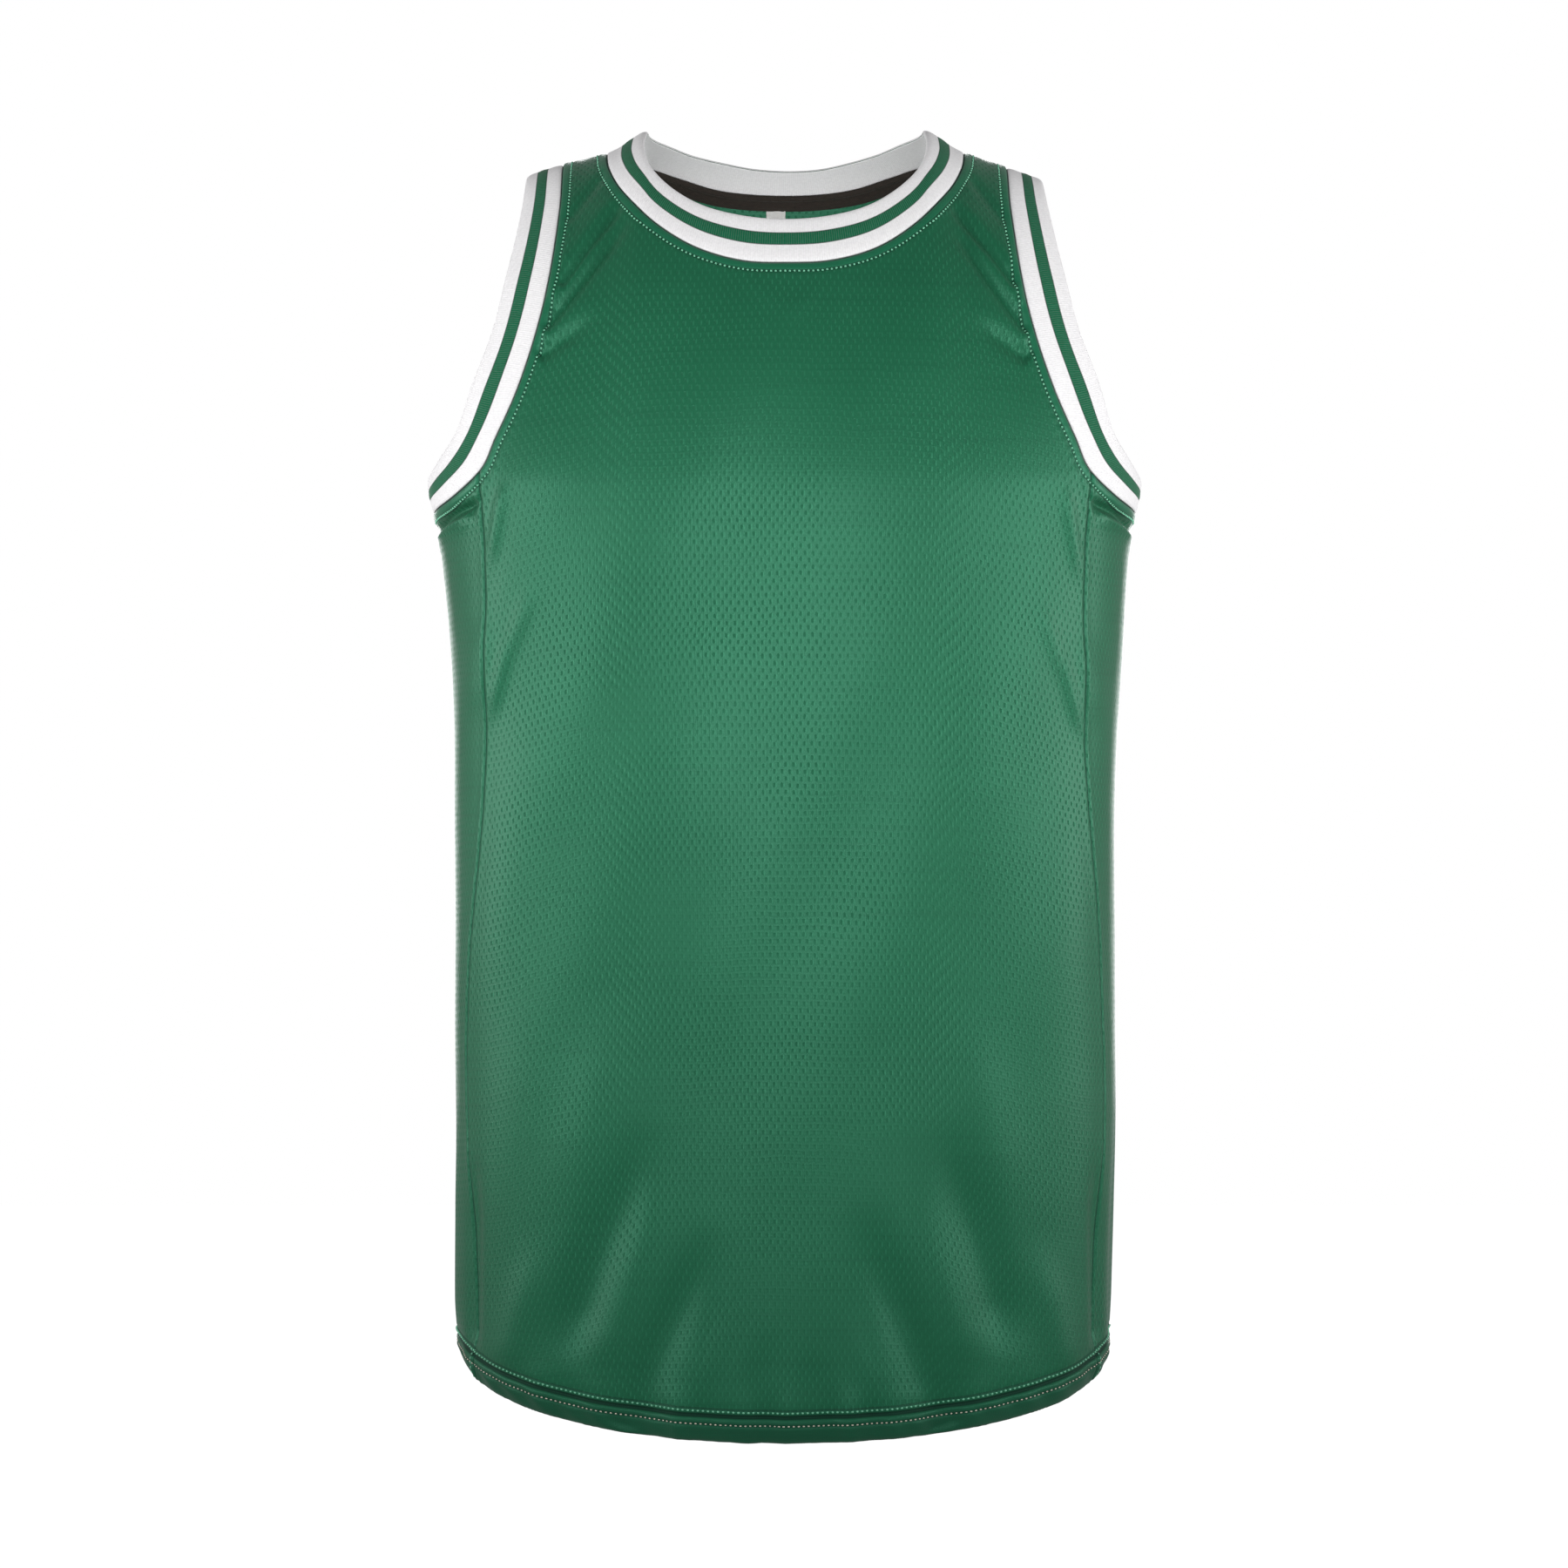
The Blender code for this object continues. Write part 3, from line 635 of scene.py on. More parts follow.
def ripple_height(points):
    x, y, z = np.moveaxis(points, -1, 0)
    height = 0.0
    for ripple in RIPPLES:
        turns = x / ripple.wave_x + y / ripple.wave_y + z / ripple.wave_z
        height = height + ripple.height * np.sin(2 * math.pi * turns + ripple.phase)
    return height


def relief_height(points, turn):
    """How far the cloth stands off the form, and seam coordinates.

    The first coordinate is the distance from the bands' seams up to SEAM_REACH, and from there
    rises to twice that at the hem's edge. The second is the distance from the other seams.
    """
    from_band, along = BAND_LINES.nearest(points)
    from_band = from_band - UNDERLAP
    height = fold_height(points, turn) * smooth_step(0.0, BAND_STITCH_DISTANCE, from_band)
    height += ripple_height(points)
    height += smooth_value(BAND_SEAM_RELIEF, "height", from_band)
    pucker = BAND_PUCKER * np.exp(-((from_band - BAND_PUCKER_MIDDLE) / BAND_PUCKER_REACH) ** 2)
    drift = BAND_PUCKER_DRIFT * np.sin(along / BAND_PUCKER_DRIFT_LENGTH)
    height += pucker * np.sin(2 * math.pi * along / BAND_PUCKER_LENGTH + drift)
    from_join, along = JOIN_LINES.nearest(points)
    height += smooth_value(PLAIN_SEAM_RELIEF, "height", from_join)
    pucker = JOIN_PUCKER * np.exp(-(from_join / JOIN_PUCKER_REACH) ** 2)
    height += pucker * np.sin(2 * math.pi * along / JOIN_PUCKER_LENGTH)
    from_hem, _ = HEM_LINE.nearest(points)
    height += smooth_value(HEM_RELIEF, "height", from_hem)
    round_hem = np.radians(turn)
    slack = 1 - smooth_step(HEM_SLACK_FULL, HEM_SLACK_END, from_hem)
    slack *= HEM_SLACK_AT_SIDES + (1 - HEM_SLACK_AT_SIDES) * np.cos(round_hem) ** 2
    for wave in HEM_SLACK:
        height += slack * wave.height * np.sin(wave.count * round_hem + wave.phase)
    edge = HEM_EDGE_WAVE * np.exp(-((from_hem - HEM_EDGE_MIDDLE) / HEM_EDGE_REACH) ** 2)
    height += edge * np.sin(HEM_EDGE_COUNT * round_hem + from_hem / HEM_EDGE_LEAN)
    first = np.minimum(from_band, SEAM_REACH) + np.maximum(SEAM_REACH - from_hem, 0.0)
    return height, np.stack([first, np.minimum(from_join, SEAM_REACH)], axis=-1)


def cloth(places):
    """Outer points, normals and seam coordinates, for places on the panels."""
    points = form_point(places)
    normals = form_normal(places)
    height, seams = relief_height(points, places[..., 0])
    return points + normals * height[..., None], normals, seams


# -------- meshes
def new_object(name, material, verts, faces, layers):
    """Smooth closed mesh, turned to face outward; uv layers have a row for each face corner."""
    a, b, c, d = (verts[faces[:, k]] for k in range(4))
    if np.sum(a * (np.cross(b, c) + np.cross(c, d))) < 0:
        faces = faces[:, ::-1]
        layers = {key: values[:, ::-1] for key, values in layers.items()}
    mesh = bpy.data.meshes.new(name)
    mesh.from_pydata(verts.tolist(), [], faces.tolist())
    for key, values in layers.items():
        layer = mesh.uv_layers.new(name=key)
        layer.data.foreach_set("uv", np.ascontiguousarray(values, dtype=np.float32).ravel())
    mesh.shade_smooth()
    mesh.materials.append(material)
    obj = bpy.data.objects.new(name, mesh)
    bpy.context.scene.collection.objects.link(obj)
    return obj


def quads(index):
    """Faces between neighbours in a grid of vertex numbers."""
    return np.stack(
        [index[:-1, :-1], index[:-1, 1:], index[1:, 1:], index[1:, :-1]], axis=-1
    ).reshape(-1, 4)


def wall_object(name, material, outer, inner, **grids):
    """Closed wall between two grids of points, with a rounded rim; grids are its uv layers."""
    rows, columns = outer.shape[:2]
    number = np.arange(rows * columns).reshape(rows, columns)
    loop = np.concatenate([number[0, :-1], number[:-1, -1], number[-1, :0:-1], number[:0:-1, 0]])
    next_in = number[np.clip(loop // columns, 1, rows - 2), np.clip(loop % columns, 1, columns - 2)]
    outer, inner = outer.reshape(-1, 3), inner.reshape(-1, 3)
    wall = np.linalg.norm(outer[loop] - inner[loop], axis=-1, keepdims=True)
    rim = (outer[loop] + inner[loop]) / 2 + unit(outer[loop] - outer[next_in]) * wall / 2
    middle = 2 * rows * columns + np.arange(len(loop))
    strip = np.stack([loop + rows * columns, middle, loop])
    rim_faces = quads(np.hstack([strip, strip[:, :1]]))
    faces = np.vstack([quads(number), quads(number + rows * columns)[:, ::-1], rim_faces])
    layers = {}
    for key, grid in grids.items():
        grid = grid.reshape(-1, 2)
        layers[key] = np.vstack([grid, grid, grid[loop]])[faces]
    return new_object(name, material, np.vstack([outer, inner, rim]), faces, layers)


# -------- where the knit runs
def girth_table():
    """Length round the form by turn; the back panel's turns go on past 180."""
    turn = np.linspace(0, 270, 1081)
    return turn, line_length(form_point(np.stack([turn, drop_at(turn, GIRTH_Z)], axis=-1)))


GIRTH_TURN, GIRTH_LENGTH = girth_table()


def knit_uv(places):
    """Metres round the form and metres down it, so that the knit keeps its size."""
    turn, drop = places[..., 0], places[..., 1]
    round_form = np.sign(turn) * np.interp(np.abs(turn), GIRTH_TURN, GIRTH_LENGTH)
    return np.stack([round_form, drop], axis=-1)


# -------- materials
class Nodes:
    """Short way to write a material's nodes."""

    def __init__(self, name):
        self.material = bpy.data.materials.new(name)
        self.material.use_nodes = True
        self.tree = self.material.node_tree
        self.shader = self.tree.nodes["Principled BSDF"]

    def add(self, kind, inputs=(), output=0, **settings):
        node = self.tree.nodes.new(kind)
        for key, value in settings.items():
            setattr(node, key, value)
        for socket, value in dict(inputs).items():
            self.put(node.inputs[socket], value)
        return node.outputs[output]

    def put(self, socket, value):
        if isinstance(value, bpy.types.NodeSocket):
            self.tree.links.new(value, socket)
        else:
            socket.default_value = value

    def math(self, operation, a, b=0.0, clamp=False):
        return self.add("ShaderNodeMath", {0: a, 1: b}, operation=operation, use_clamp=clamp)

    plus, minus = partialmethod(math, "ADD"), partialmethod(math, "SUBTRACT")
    times, over = partialmethod(math, "MULTIPLY"), partialmethod(math, "DIVIDE")
    larger = partialmethod(math, "MAXIMUM")

    def uv(self, layer="cloth"):
        source = self.add("ShaderNodeUVMap", uv_map=layer)
        node = self.tree.nodes.new("ShaderNodeSeparateXYZ")
        self.tree.links.new(source, node.inputs[0])
        return node.outputs[0], node.outputs[1]

    def ramp(self, value, low, high, start=0.0, end=1.0):
        inputs = {0: value, 1: low, 2: high, 3: start, 4: end}
        return self.add("ShaderNodeMapRange", inputs, interpolation_type="SMOOTHSTEP")

    def mix(self, share, a, b):
        node = self.tree.nodes.new("ShaderNodeMix")
        node.data_type = "RGBA"
        for socket, value in ((node.inputs[0], share), (node.inputs[6], a), (node.inputs[7], b)):
            self.put(socket, (*value, 1.0) if isinstance(value, tuple) else value)
        return node.outputs[2]

    def noise(self, scale, detail=2.0):
        place = self.add("ShaderNodeTexCoord", output=3)
        return self.add("ShaderNodeTexNoise", {"Vector": place, "Scale": scale, "Detail": detail})

    def streaks(self, scale_round, scale_down):
        """Noise drawn out level round the form, as rows of knit are."""
        place = self.add("ShaderNodeTexCoord", output=3)
        scale = (scale_round, scale_round, scale_down)
        place = self.add("ShaderNodeVectorMath", {0: place, 1: scale}, operation="MULTIPLY")
        return self.add("ShaderNodeTexNoise", {"Vector": place, "Scale": 1.0, "Detail": 2.0})

    def bump(self, height, distance, strength=1.0):
        inputs = {"Height": height, "Distance": distance, "Strength": strength}
        return self.add("ShaderNodeBump", inputs)

    def wave(self, value, period):
        """Soft wave from -1 to 1 along a value."""
        return self.math("SINE", self.times(value, 2 * math.pi / period))

    def finish(self, **sockets):
        for name, value in sockets.items():
            self.put(self.shader.inputs[name.replace("_", " ")], value)
        return self.material


EYELET_PITCH = 0.0043
EYELET_ROW = 0.0039
WALE = 0.00108              # one column of knit loops
LAYER_EDGE = 0.0008         # over which a doubled layer ends


def mesh_material():
    """Green eyelet mesh: staggered small holes, a raised loop with a painted highlight beside each,
    and fine knit columns.
    """
    n = Nodes("green_mesh_cloth")
    u, v = n.uv()
    uneven = n.noise(28.0, 1.0)
    u = n.plus(u, n.times(uneven, 0.0030))
    v = n.plus(v, n.times(uneven, 0.0045))
    row = n.over(v, EYELET_ROW)
    odd = n.math("FLOORED_MODULO", n.math("FLOOR", row), 2.0)
    column = n.plus(n.over(u, EYELET_PITCH), n.times(odd, 0.5))
    across = n.minus(n.math("FRACT", column), 0.5)
    down = n.minus(n.math("FRACT", row), 0.5)

    def oval(centre, half_width, half_height):
        x = n.over(n.minus(across, centre), half_width)
        y = n.over(down, half_height)
        size = n.plus(n.times(x, x), n.times(y, y))
        return n.ramp(size, 0.35, 1.25, 1.0, 0.0)

    wales = n.wave(u, WALE)
    courses = n.wave(v, EYELET_ROW / 2)
    cloudy = n.noise(9.0, 3.0)
    patches = n.noise(16.0, 2.0)
    fuzz = n.noise(900.0, 2.0)

    # smooth where two layers lie sewn together, beside the bands and in the hem
    from_band, from_join = n.uv("seams")
    from_hem = n.minus(2 * SEAM_REACH, from_band)
    single = n.times(
        n.ramp(from_band, BAND_STITCH_DISTANCE, BAND_STITCH_DISTANCE + LAYER_EDGE),
        n.ramp(from_hem, HEM_TURN, HEM_TURN + LAYER_EDGE),
    )
    open_knit = n.times(n.ramp(patches, 0.30, 0.70, 0.45, 1.0), single)
    eyelet = n.times(oval(-0.12, 0.17, 0.34), open_knit)
    loop = n.times(oval(0.15, 0.11, 0.46), open_knit)

    def line(distance, centre, half_width):
        away = n.math("ABSOLUTE", n.minus(distance, centre))
        return n.ramp(away, half_width * 0.4, half_width, 1.0, 0.0)

    # painted shade: a dark line in the gap at the band seam, under the seam allowance's edge by its
    # stitches, in the hem groove and beside both hem stitch rows, with a thin dark line along the
    # plain seams
    dark = n.times(line(from_band, 0.0, 0.0009), 0.95)
    for distance, centre, half_width, share in (
        (from_band, BAND_STITCH_DISTANCE, 0.0012, 0.60),
        (from_join, 0.0, 0.0006, 0.75),
        (from_hem, HEM_GROOVE, 0.0018, 0.95),
        (from_hem, HEM_STITCH_ROWS["upper"] + 0.0013, 0.0010, 0.60),
        (from_hem, HEM_STITCH_ROWS["lower"], 0.0014, 0.75),
    ):
        dark = n.larger(dark, n.times(line(distance, centre, half_width), share))
    # painted shade over the hem below its lower stitches, where it curls inward, fading out at the
    # groove
    painted_hem_shade = n.ramp(from_hem, HEM_STITCH_ROWS["lower"], HEM_GROOVE, 0.35, 0.0)
    dark = n.larger(dark, painted_hem_shade)
    end = BAND_STITCH_DISTANCE - 0.0006     # of the paler seam allowance
    colour = n.mix(n.ramp(cloudy, 0.30, 0.70), (0.007, 0.090, 0.040), (0.009, 0.101, 0.046))
    for share, tint in (
        (n.ramp(from_band, end - 0.0006, end, 0.35, 0.0), (0.014, 0.160, 0.080)),
        # painted highlight on the raised loops
        (n.times(loop, 0.50), (0.030, 0.200, 0.105)),
        (n.times(eyelet, 0.18), (0.003, 0.038, 0.018)),
        (n.times(fuzz, 0.16), (0.005, 0.070, 0.031)),
        (n.ramp(n.streaks(14.0, 520.0), 0.45, 0.75, 0.0, 0.22), (0.004, 0.060, 0.028)),
        # painted shade, near black, along the seams and over the hem
        (dark, (0.001, 0.014, 0.008)),
    ):
        colour = n.mix(share, colour, tint)
    height = n.minus(n.times(loop, 0.5), eyelet)
    height = n.plus(height, n.times(wales, 0.13))
    height = n.plus(height, n.times(courses, 0.08))
    roughness = n.plus(0.38, n.times(n.larger(eyelet, dark), 0.30))
    return n.finish(
        Base_Color=colour,
        Roughness=roughness,
        Normal=n.bump(height, 0.00014, 0.8),
        Sheen_Weight=0.03,
        Sheen_Roughness=0.45,
        Specular_IOR_Level=0.50,
        Specular_Tint=(0.36, 1.0, 0.70, 1.0),
    )


STRIPE_START, STRIPE_END = 0.39, 0.65    # shares of a band's width, from its seam
RIB = 0.0013


def rib_material():
    """White rib knit with a green stripe along its outer side."""
    n = Nodes("white_rib_cloth")
    u, v = n.uv()
    soft = 0.006
    inside = n.times(
        n.ramp(v, STRIPE_START - soft, STRIPE_START + soft),
        n.ramp(v, STRIPE_END - soft, STRIPE_END + soft, 1.0, 0.0),
    )
    # grooves at the stripe's two edges, cut into the bump and darkened with painted shade
    stripe_groove_and_shade = 0.0
    for edge in (STRIPE_START, STRIPE_END):
        near = n.ramp(n.math("ABSOLUTE", n.minus(v, edge)), 0.0, 0.022, 1.0, 0.0)
        stripe_groove_and_shade = n.larger(stripe_groove_and_shade, near)
    ribs = n.wave(u, RIB)
    fuzz = n.noise(700.0, 2.0)
    white = n.mix(n.ramp(fuzz, 0.3, 0.7), (0.80, 0.79, 0.80), (0.86, 0.85, 0.86))
    green = n.mix(n.ramp(fuzz, 0.3, 0.7), (0.003, 0.102, 0.043), (0.005, 0.122, 0.055))
    colour = n.mix(inside, white, green)
    # painted shade along the stripe's edges
    colour = n.mix(n.times(stripe_groove_and_shade, 0.90), colour, (0.004, 0.050, 0.026))
    # painted shade in the gap at the band's seam edge
    colour = n.mix(n.ramp(v, 0.010, 0.026, 0.90, 0.0), colour, (0.010, 0.040, 0.025))
    # painted shade in the hollows between the ribs
    colour = n.mix(n.ramp(ribs, -1.0, -0.2, 0.10, 0.0), colour, (0.45, 0.46, 0.46))
    height = n.minus(n.times(ribs, 0.25), stripe_groove_and_shade)
    height = n.plus(height, n.times(fuzz, 0.15))
    return n.finish(
        Base_Color=colour,
        Roughness=n.plus(0.70, n.times(ribs, 0.06)),
        Normal=n.bump(height, 0.00025, 0.7),
        Sheen_Weight=0.05,
        Sheen_Roughness=0.5,
        Specular_IOR_Level=0.15,
    )


def woven_material(name, dark, light, thread, depth):
    """Plain weave: threads over and under in both directions."""
    n = Nodes(name)
    u, v = n.uv()
    weave = n.times(n.wave(u, thread), n.wave(v, thread))
    fuzz = n.noise(500.0, 2.0)
    share = n.plus(n.times(weave, 0.35), fuzz, clamp=True)
    return n.finish(
        Base_Color=n.mix(share, dark, light),
        Roughness=n.plus(0.74, n.times(weave, 0.06)),
        Normal=n.bump(weave, depth, 0.7),
        Sheen_Weight=0.05,
        Sheen_Roughness=0.5,
        Specular_IOR_Level=0.30,
    )


def thread_material(name, dark, light):
    """Twisted sewing thread."""
    n = Nodes(name)
    u, v = n.uv()
    twist = n.wave(n.plus(u, n.times(v, 0.0006)), 0.0005)
    return n.finish(
        Base_Color=n.mix(n.ramp(twist, -1.0, 1.0), dark, light),
        Roughness=n.plus(0.45, n.times(twist, 0.05)),
        Normal=n.bump(twist, 0.00006, 0.6),
        Sheen_Weight=0.2,
    )


# -------- pieces
def add_piece(obj, slot, *nodes):
    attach(obj, "root")
    if nodes:
        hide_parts(*nodes)
    return obj


def panel_object(name, node, places):
    outer, normals, seams = cloth(places)
    from_hem = 2 * SEAM_REACH - seams[..., 0]
    turned = 1 - smooth_step(HEM_TURN - 0.001, HEM_TURN + 0.001, from_hem)
    wall = CLOTH_WALL + (HEM_WALL - CLOTH_WALL) * turned
    inner = outer - normals * wall[..., None]
    obj = wall_object(name, GREEN, outer, inner, cloth=knit_uv(places), seams=seams)
    return add_piece(obj, "green_mesh", node)


BAND_WALL = 0.0018
BAND_PROFILE = table(       # across a band, from its seam to its free edge
    "share height",
    (0.000, -0.0011), (0.018, -0.0003), (0.060, 0.0003), (0.200, 0.0006),
    (0.390, 0.0004), (0.520, 0.0007), (0.650, 0.0004), (0.850, 0.0006),
    (0.950, 0.0003), (0.985, -0.0002), (1.000, -0.0009),
)
PLAIN_SHARE = 0.15          # a place across a band that is white, for all of its inner side


def band_object(name, node, seam, edge):
    """Closed ring of double rib knit between its seam and its free edge."""
    ease = 0.5 - 0.5 * np.cos(np.linspace(0, math.pi, RING_STEPS + 1))
    over = ease[:, None, None]
    under = ease[-2:0:-2][:, None, None]
    share = np.concatenate([over, under])
    places = seam[None] + (edge - seam)[None] * share
    points, normals = form_point(places), form_normal(places)
    rise = smooth_value(BAND_PROFILE, "height", ease)
    height = np.concatenate([rise, np.full(len(under), -BAND_WALL)])
    points = points + normals * (height[:, None] + ripple_height(points))[..., None]
    rows, columns = points.shape[:2]
    number = np.arange(rows * columns).reshape(rows, columns)
    ring = np.vstack([number, number[:1]])
    faces = quads(np.hstack([ring, ring[:, :1]]))
    middle = points[RING_STEPS // 2]
    along = line_length(np.vstack([middle, middle[:1]]))
    across = np.concatenate([ease, np.full(len(under) + 1, PLAIN_SHARE)])
    uv = np.stack(np.meshgrid(along, across), axis=-1)
    wide = np.arange((rows + 1) * (columns + 1)).reshape(rows + 1, columns + 1)
    layers = {"cloth": uv.reshape(-1, 2)[quads(wide)]}
    obj = new_object(name, WHITE, points.reshape(-1, 3), faces, layers)
    return add_piece(obj, "white_rib", node)


TAPE_TOP, TAPE_BOTTOM = -0.0034, 0.0090     # down from the back neck seam
TAPE_ROWS, TAPE_STATIONS = 16, 90
TAPE_WALL = 0.0006
TAPE_GAP_TOP, TAPE_GAP_BOTTOM = 0.0015, 0.0003      # inward from the cloth
LABEL_WIDTH = 0.0102
LABEL_LENGTH = 0.022
LABEL_CENTRE_X = -0.0052
LABEL_TUCK = 0.0010         # of its length, up behind the tape
LABEL_GAP, LABEL_HANG = 0.0006, 0.0012      # inward from the cloth, and further at its lower end
LABEL_WALL = 0.0004


def below_back_neck(at, distance):
    """Places inside the back, at station numbers and distances down from the neck seam."""
    seam, edge = neck_curve(NECK_BACK, "seam", at), neck_curve(NECK_BACK, "edge", at)
    return moved_along(seam, edge, -distance)


def tape_object():
    half = toward_crest(NECK_END, TAPE_STATIONS)[:-1]
    rows = []
    for distance in np.linspace(TAPE_TOP, TAPE_BOTTOM, TAPE_ROWS):
        row = below_back_neck(half, distance)
        rows.append(on_back(np.vstack([mirrored(row[:0:-1]), row])))
    places = np.array(rows)
    points, normals, _ = cloth(places)
    gap = np.linspace(TAPE_GAP_TOP, TAPE_GAP_BOTTOM, TAPE_ROWS)[:, None, None]
    outer = points - normals * (CLOTH_WALL + gap)
    inner = outer - normals * TAPE_WALL
    obj = wall_object("neck_tape_cloth", DARK, outer, inner, cloth=knit_uv(places))
    return add_piece(obj, "dark_tape", "neck_tape")


def label_object():
    seam = neck_curve(NECK_BACK, "seam", [0.0])[0]
    x = LABEL_CENTRE_X + np.linspace(-LABEL_WIDTH / 2, LABEL_WIDTH / 2, 17)
    down = np.linspace(0.0, LABEL_LENGTH, 31)
    drop = seam[1] + TAPE_BOTTOM - LABEL_TUCK + down
    radius = np.linalg.norm(form_point(np.array([180.0, drop.mean()]))[:2])
    turn = 180 - np.degrees(x / radius)
    places = np.stack(np.broadcast_arrays(turn[None], drop[:, None]), axis=-1)
    points, normals, _ = cloth(places)
    gap = LABEL_GAP + LABEL_HANG * smooth_step(0.2, 1.0, down / LABEL_LENGTH)
    outer = points - normals * (CLOTH_WALL + gap)[:, None, None]
    uv = np.stack(np.broadcast_arrays(x[None], down[:, None]), axis=-1)
    obj = wall_object("neck_label_cloth", PALE, outer, outer - normals * LABEL_WALL, cloth=uv)
    return add_piece(obj, "plain_label", "neck_label")


# -------- stitching
STITCH_RINGS = table(       # shares of a stitch's length and radius
    "along radius rise",
    (0.00, 0.25, -1.2), (0.16, 0.80, -0.1), (0.50, 1.00, 0.5),
    (0.84, 0.80, -0.1), (1.00, 0.25, -1.2),
)
STITCH_SIDES = 6
BAND_STITCH = (0.0027, 0.0016, 0.00064)     # metres from one to the next, its length and radius
UPPER_HEM_STITCH = (0.0029, 0.0016, 0.00058)
LOWER_HEM_STITCH = (0.0029, 0.0016, 0.00042)
TACK_STITCH = (0.0030, 0.0021, 0.00042)
TACK_FROM, TACK_TO = 0.001, 0.020   # up from the hem's edge
TACK_ASIDE = 0.8                    # degrees from the seam


def stitch_verts(line, pitch, length, radius):
    """Vertices of the stitches along one line of places, ring by ring."""
    points, normals, _ = cloth(line)
    total = line_length(points)[-1]
    count = round(total / pitch)
    middle = (np.arange(count) + 0.5) * total / count
    start = along_line(points, points, middle - length / 2)
    end = along_line(points, points, middle + length / 2)
    normal = unit(along_line(points, normals, middle))
    side = unit(np.cross(normal, end - start))
    verts = np.empty((count, len(STITCH_RINGS), STITCH_SIDES, 3))
    for number, ring in enumerate(STITCH_RINGS):
        centre = start + (end - start) * ring.along + normal * ring.rise * radius
        for k in range(STITCH_SIDES):
            angle = 2 * math.pi * k / STITCH_SIDES
            out = normal * math.cos(angle) + side * math.sin(angle)
            verts[:, number, k] = centre + out * ring.radius * radius
    return verts.reshape(count, -1, 3)


def stitch_object(name, material, slot, lines, pitch, length, radius):
    """Separate sewn stitches along lines of places, all in one mesh."""
    verts = np.vstack([stitch_verts(line, pitch, length, radius) for line in lines])
    number = np.arange(len(STITCH_RINGS) * STITCH_SIDES).reshape(-1, STITCH_SIDES)
    wrapped = np.hstack([number, number[:, :1]])
    ends = np.array([number[0, [3, 2, 1, 0]], number[0, [5, 4, 3, 0]],
                     number[-1, [0, 1, 2, 3]], number[-1, [0, 3, 4, 5]]])
    one = np.vstack([quads(wrapped), ends])
    faces = (one[None] + (np.arange(len(verts)) * number.size)[:, None, None]).reshape(-1, 4)
    along = np.array([ring.along * length for ring in STITCH_RINGS])
    around = np.arange(STITCH_SIDES) / STITCH_SIDES
    one_uv = np.stack(np.meshgrid(along, around, indexing="ij"), axis=-1).reshape(-1, 2)
    uv = np.tile(one_uv, (len(verts), 1))
    obj = new_object(name, material, verts.reshape(-1, 3), faces, {"cloth": uv[faces]})
    return add_piece(obj, slot)


def moved_across(places, distance):
    """Places of a line moved sideways on the form, to the right of the way it runs from outside."""
    points, normals = form_point(places), form_normal(places)
    aside = np.cross(unit(np.gradient(points, axis=0)), normals) * distance
    turning = form_point(places + SMALL_TURN) - form_point(places - SMALL_TURN)
    turning = turning / (2 * SMALL_TURN[0])
    dropping = (form_point(places + SMALL_DROP) - points) / SMALL_DROP[1]

    def dot(a, b):
        return np.sum(a * b, axis=-1)

    tt, td, dd = dot(turning, turning), dot(turning, dropping), dot(dropping, dropping)
    at, ad = dot(aside, turning), dot(aside, dropping)
    bottom = tt * dd - td * td
    return places + np.stack([(at * dd - ad * td) / bottom, (ad * tt - at * td) / bottom], axis=-1)


def band_stitch_lines():
    """Lines on the panels beside the neck band and both armhole bands."""
    at = from_crest(ARMHOLE_END, LINE_STEPS)
    half = moved_across(armhole_curve("seam", at), BAND_STITCH_DISTANCE)
    armhole = np.vstack([half, on_back(half[-2::-1])])
    at = toward_crest(NECK_END, LINE_STEPS)
    front = moved_across(neck_curve(NECK_FRONT, "seam", at), BAND_STITCH_DISTANCE)
    back = moved_across(on_back(neck_curve(NECK_BACK, "seam", at)), -BAND_STITCH_DISTANCE)
    neck = np.vstack([front, back[::-1]])
    return [armhole, mirrored(armhole), np.vstack([mirrored(neck[::-1]), neck])]


def hem_stitch_line(distance):
    return moved_across(hem_place(np.linspace(-180, 180, HEM_STITCH_STEPS)), -distance)


def side_tack_lines():
    """Short rows that hold the hem down on the side seams."""
    seam = side_seam_places()
    height = line_length(form_point(seam))
    tack = seam[(height > TACK_FROM) & (height < TACK_TO)] + [TACK_ASIDE, 0.0]
    lines = [tack, mirrored(tack)]
    return lines + [on_back(line) for line in lines]


# -------- stage and light
FLOOR_Z = -1.25
FLOOR_HALF = 9.0
FLOOR_GREY = (0.60, 0.60, 0.60, 1.0)
FLOOR_GLOW = 0.82           # keeps the floor as white as what surrounds it
SOFT_LIGHT = 0.38           # from all round; what the camera sees there is plain white


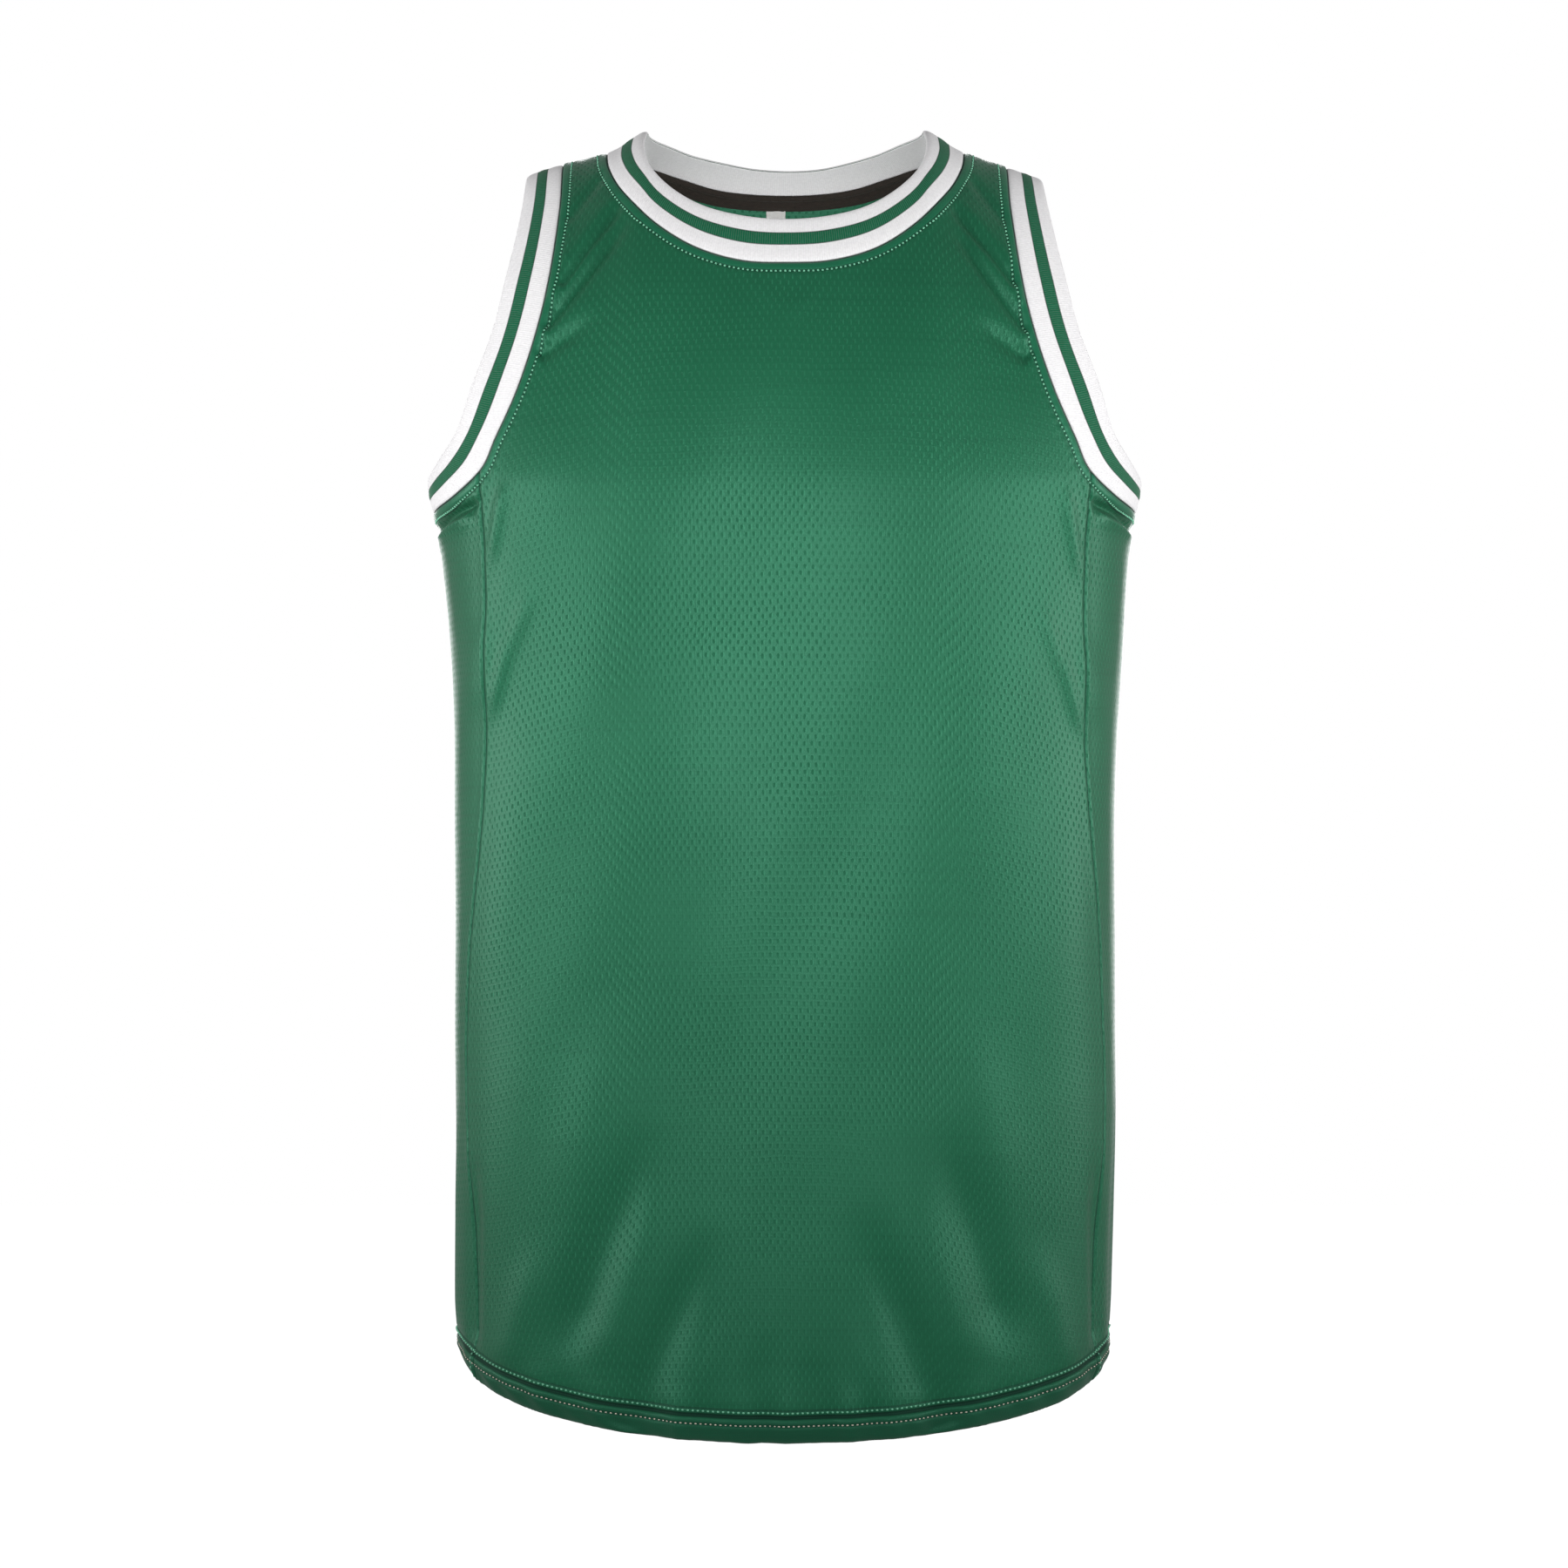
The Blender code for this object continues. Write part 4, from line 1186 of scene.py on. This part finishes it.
def make_stage():
    """Plain pale floor well under the hem, and a plain white surrounding."""
    mesh = bpy.data.meshes.new("floor")
    signs = ((-1, -1), (1, -1), (1, 1), (-1, 1))
    corners = [(x * FLOOR_HALF, y * FLOOR_HALF, FLOOR_Z) for x, y in signs]
    mesh.from_pydata(corners, [], [(0, 1, 2, 3)])
    floor = bpy.data.objects.new("floor", mesh)
    bpy.context.scene.collection.objects.link(floor)
    material = bpy.data.materials.new("pale_floor")
    material.use_nodes = True
    shader = material.node_tree.nodes["Principled BSDF"]
    shader.inputs["Base Color"].default_value = FLOOR_GREY
    shader.inputs["Roughness"].default_value = 0.9
    shader.inputs["Emission Color"].default_value = (1.0, 1.0, 1.0, 1.0)
    shader.inputs["Emission Strength"].default_value = FLOOR_GLOW
    mesh.materials.append(material)
    floor.visible_diffuse = floor.visible_glossy = False     # it casts no light on the jersey

    world = bpy.data.worlds.new("studio")
    world.use_nodes = True
    tree = world.node_tree
    background = tree.nodes["Background"]
    background.inputs["Color"].default_value = (1.0, 1.0, 1.0, 1.0)
    path = tree.nodes.new("ShaderNodeLightPath")
    strength = tree.nodes.new("ShaderNodeMapRange")
    strength.inputs["To Min"].default_value = SOFT_LIGHT
    strength.inputs["To Max"].default_value = 1.0
    tree.links.new(path.outputs["Is Camera Ray"], strength.inputs["Value"])
    tree.links.new(strength.outputs["Result"], background.inputs["Strength"])
    bpy.context.scene.world = world


LAMPS = table(              # soft panels
    "name place faces width height power spread",
    ("front_middle", (0.0, -2.20, -0.33), (0.0, 0.0, -0.33), 1.0, 0.25, 0.54, 42),
    ("front_left", (-1.28, -1.00, -0.31), (0.0, 0.0, -0.29), 1.5, 0.34, 1.64, 60),
    ("front_right", (1.28, -1.00, -0.31), (0.0, 0.0, -0.29), 1.5, 0.34, 1.64, 60),
    ("front_low", (0.0, -1.50, -0.50), (0.0, 0.0, -0.02), 0.9, 0.40, 0.66, 52),
    ("side_left", (-1.45, -0.05, -0.30), (0.0, 0.0, -0.26), 0.6, 0.60, 0.84, 65),
    ("side_right", (1.45, -0.05, -0.30), (0.0, 0.0, -0.26), 0.6, 0.60, 0.84, 65),
    ("inside_neck", (0.0, -0.03, -0.17), (0.0, 0.085, -0.02), 0.10, 0.10, 0.068, 120),
    ("back_left", (-0.40, 1.45, -0.34), (0.0, 0.0, -0.34), 0.6, 0.60, 1.00, 75),
    ("back_right", (0.40, 1.45, -0.34), (0.0, 0.0, -0.34), 0.6, 0.60, 1.00, 75),
    ("back_top", (0.0, 1.50, 0.35), (0.0, 0.0, -0.05), 0.5, 0.50, 0.50, 60),
)


def make_lamps():
    for lamp in LAMPS:
        light = bpy.data.lights.new(lamp.name, "AREA")
        light.shape = "RECTANGLE"
        light.size, light.size_y = lamp.width, lamp.height
        light.energy = lamp.power
        light.spread = math.radians(lamp.spread)
        obj = bpy.data.objects.new(lamp.name, light)
        obj.location = lamp.place
        away = Vector(lamp.faces) - obj.location
        obj.rotation_euler = away.to_track_quat("-Z", "Y").to_euler()
        obj.visible_camera = False
        bpy.context.scene.collection.objects.link(obj)


# -------- the jersey
make_camera()
make_stage()
make_lamps()
bpy.context.scene.view_settings.view_transform = "Standard"

GREEN, WHITE = mesh_material(), rib_material()
DARK = woven_material(
    "dark_tape_cloth", (0.010, 0.007, 0.005), (0.032, 0.023, 0.016), thread=0.0011, depth=0.00015)
PALE = woven_material(
    "plain_label_cloth", (0.60, 0.59, 0.57), (0.78, 0.77, 0.76), thread=0.0005, depth=0.00006)
GREEN_THREAD = thread_material("green_thread", (0.120, 0.440, 0.270), (0.220, 0.620, 0.410))
CREAM_THREAD = thread_material("cream_thread", (0.500, 0.470, 0.370), (0.740, 0.700, 0.580))

BAND_LINES, JOIN_LINES, HEM_LINE = make_seam_lines()

front = panel_object("front_cloth", "front_panel", panel_places(NECK_FRONT))
back = panel_object("back_cloth", "back_panel", on_back(panel_places(NECK_BACK)))
left = panel_object("side_cloth_left", "side_panel_left", side_panel_places())
right = panel_object("side_cloth_right", "side_panel_right", mirrored(side_panel_places()))

seam, edge = (armhole_ring(side, ARMHOLE_RING_STEPS) for side in ("seam", "edge"))
left_band = band_object("armhole_rib_left", "armhole_band_left", seam, edge)
right_band = band_object("armhole_rib_right", "armhole_band_right", mirrored(seam), mirrored(edge))
seam, edge = (neck_ring(side, NECK_RING_STEPS) for side in ("seam", "edge"))
neck_band = band_object("neck_rib", "neck_band", seam, edge)
tape = tape_object()
label = label_object()

upper, lower = (hem_stitch_line(HEM_STITCH_ROWS[row]) for row in ("upper", "lower"))
band_stitches = stitch_object(
    "band_stitches", GREEN_THREAD, "green_mesh", band_stitch_lines(), *BAND_STITCH)
upper_stitches = stitch_object(
    "hem_stitches_upper", GREEN_THREAD, "green_mesh", [upper], *UPPER_HEM_STITCH)
lower_stitches = stitch_object(
    "hem_stitches_lower", CREAM_THREAD, "white_rib", [lower], *LOWER_HEM_STITCH)
tacks = stitch_object("side_tacks", GREEN_THREAD, "green_mesh", side_tack_lines(), *TACK_STITCH)
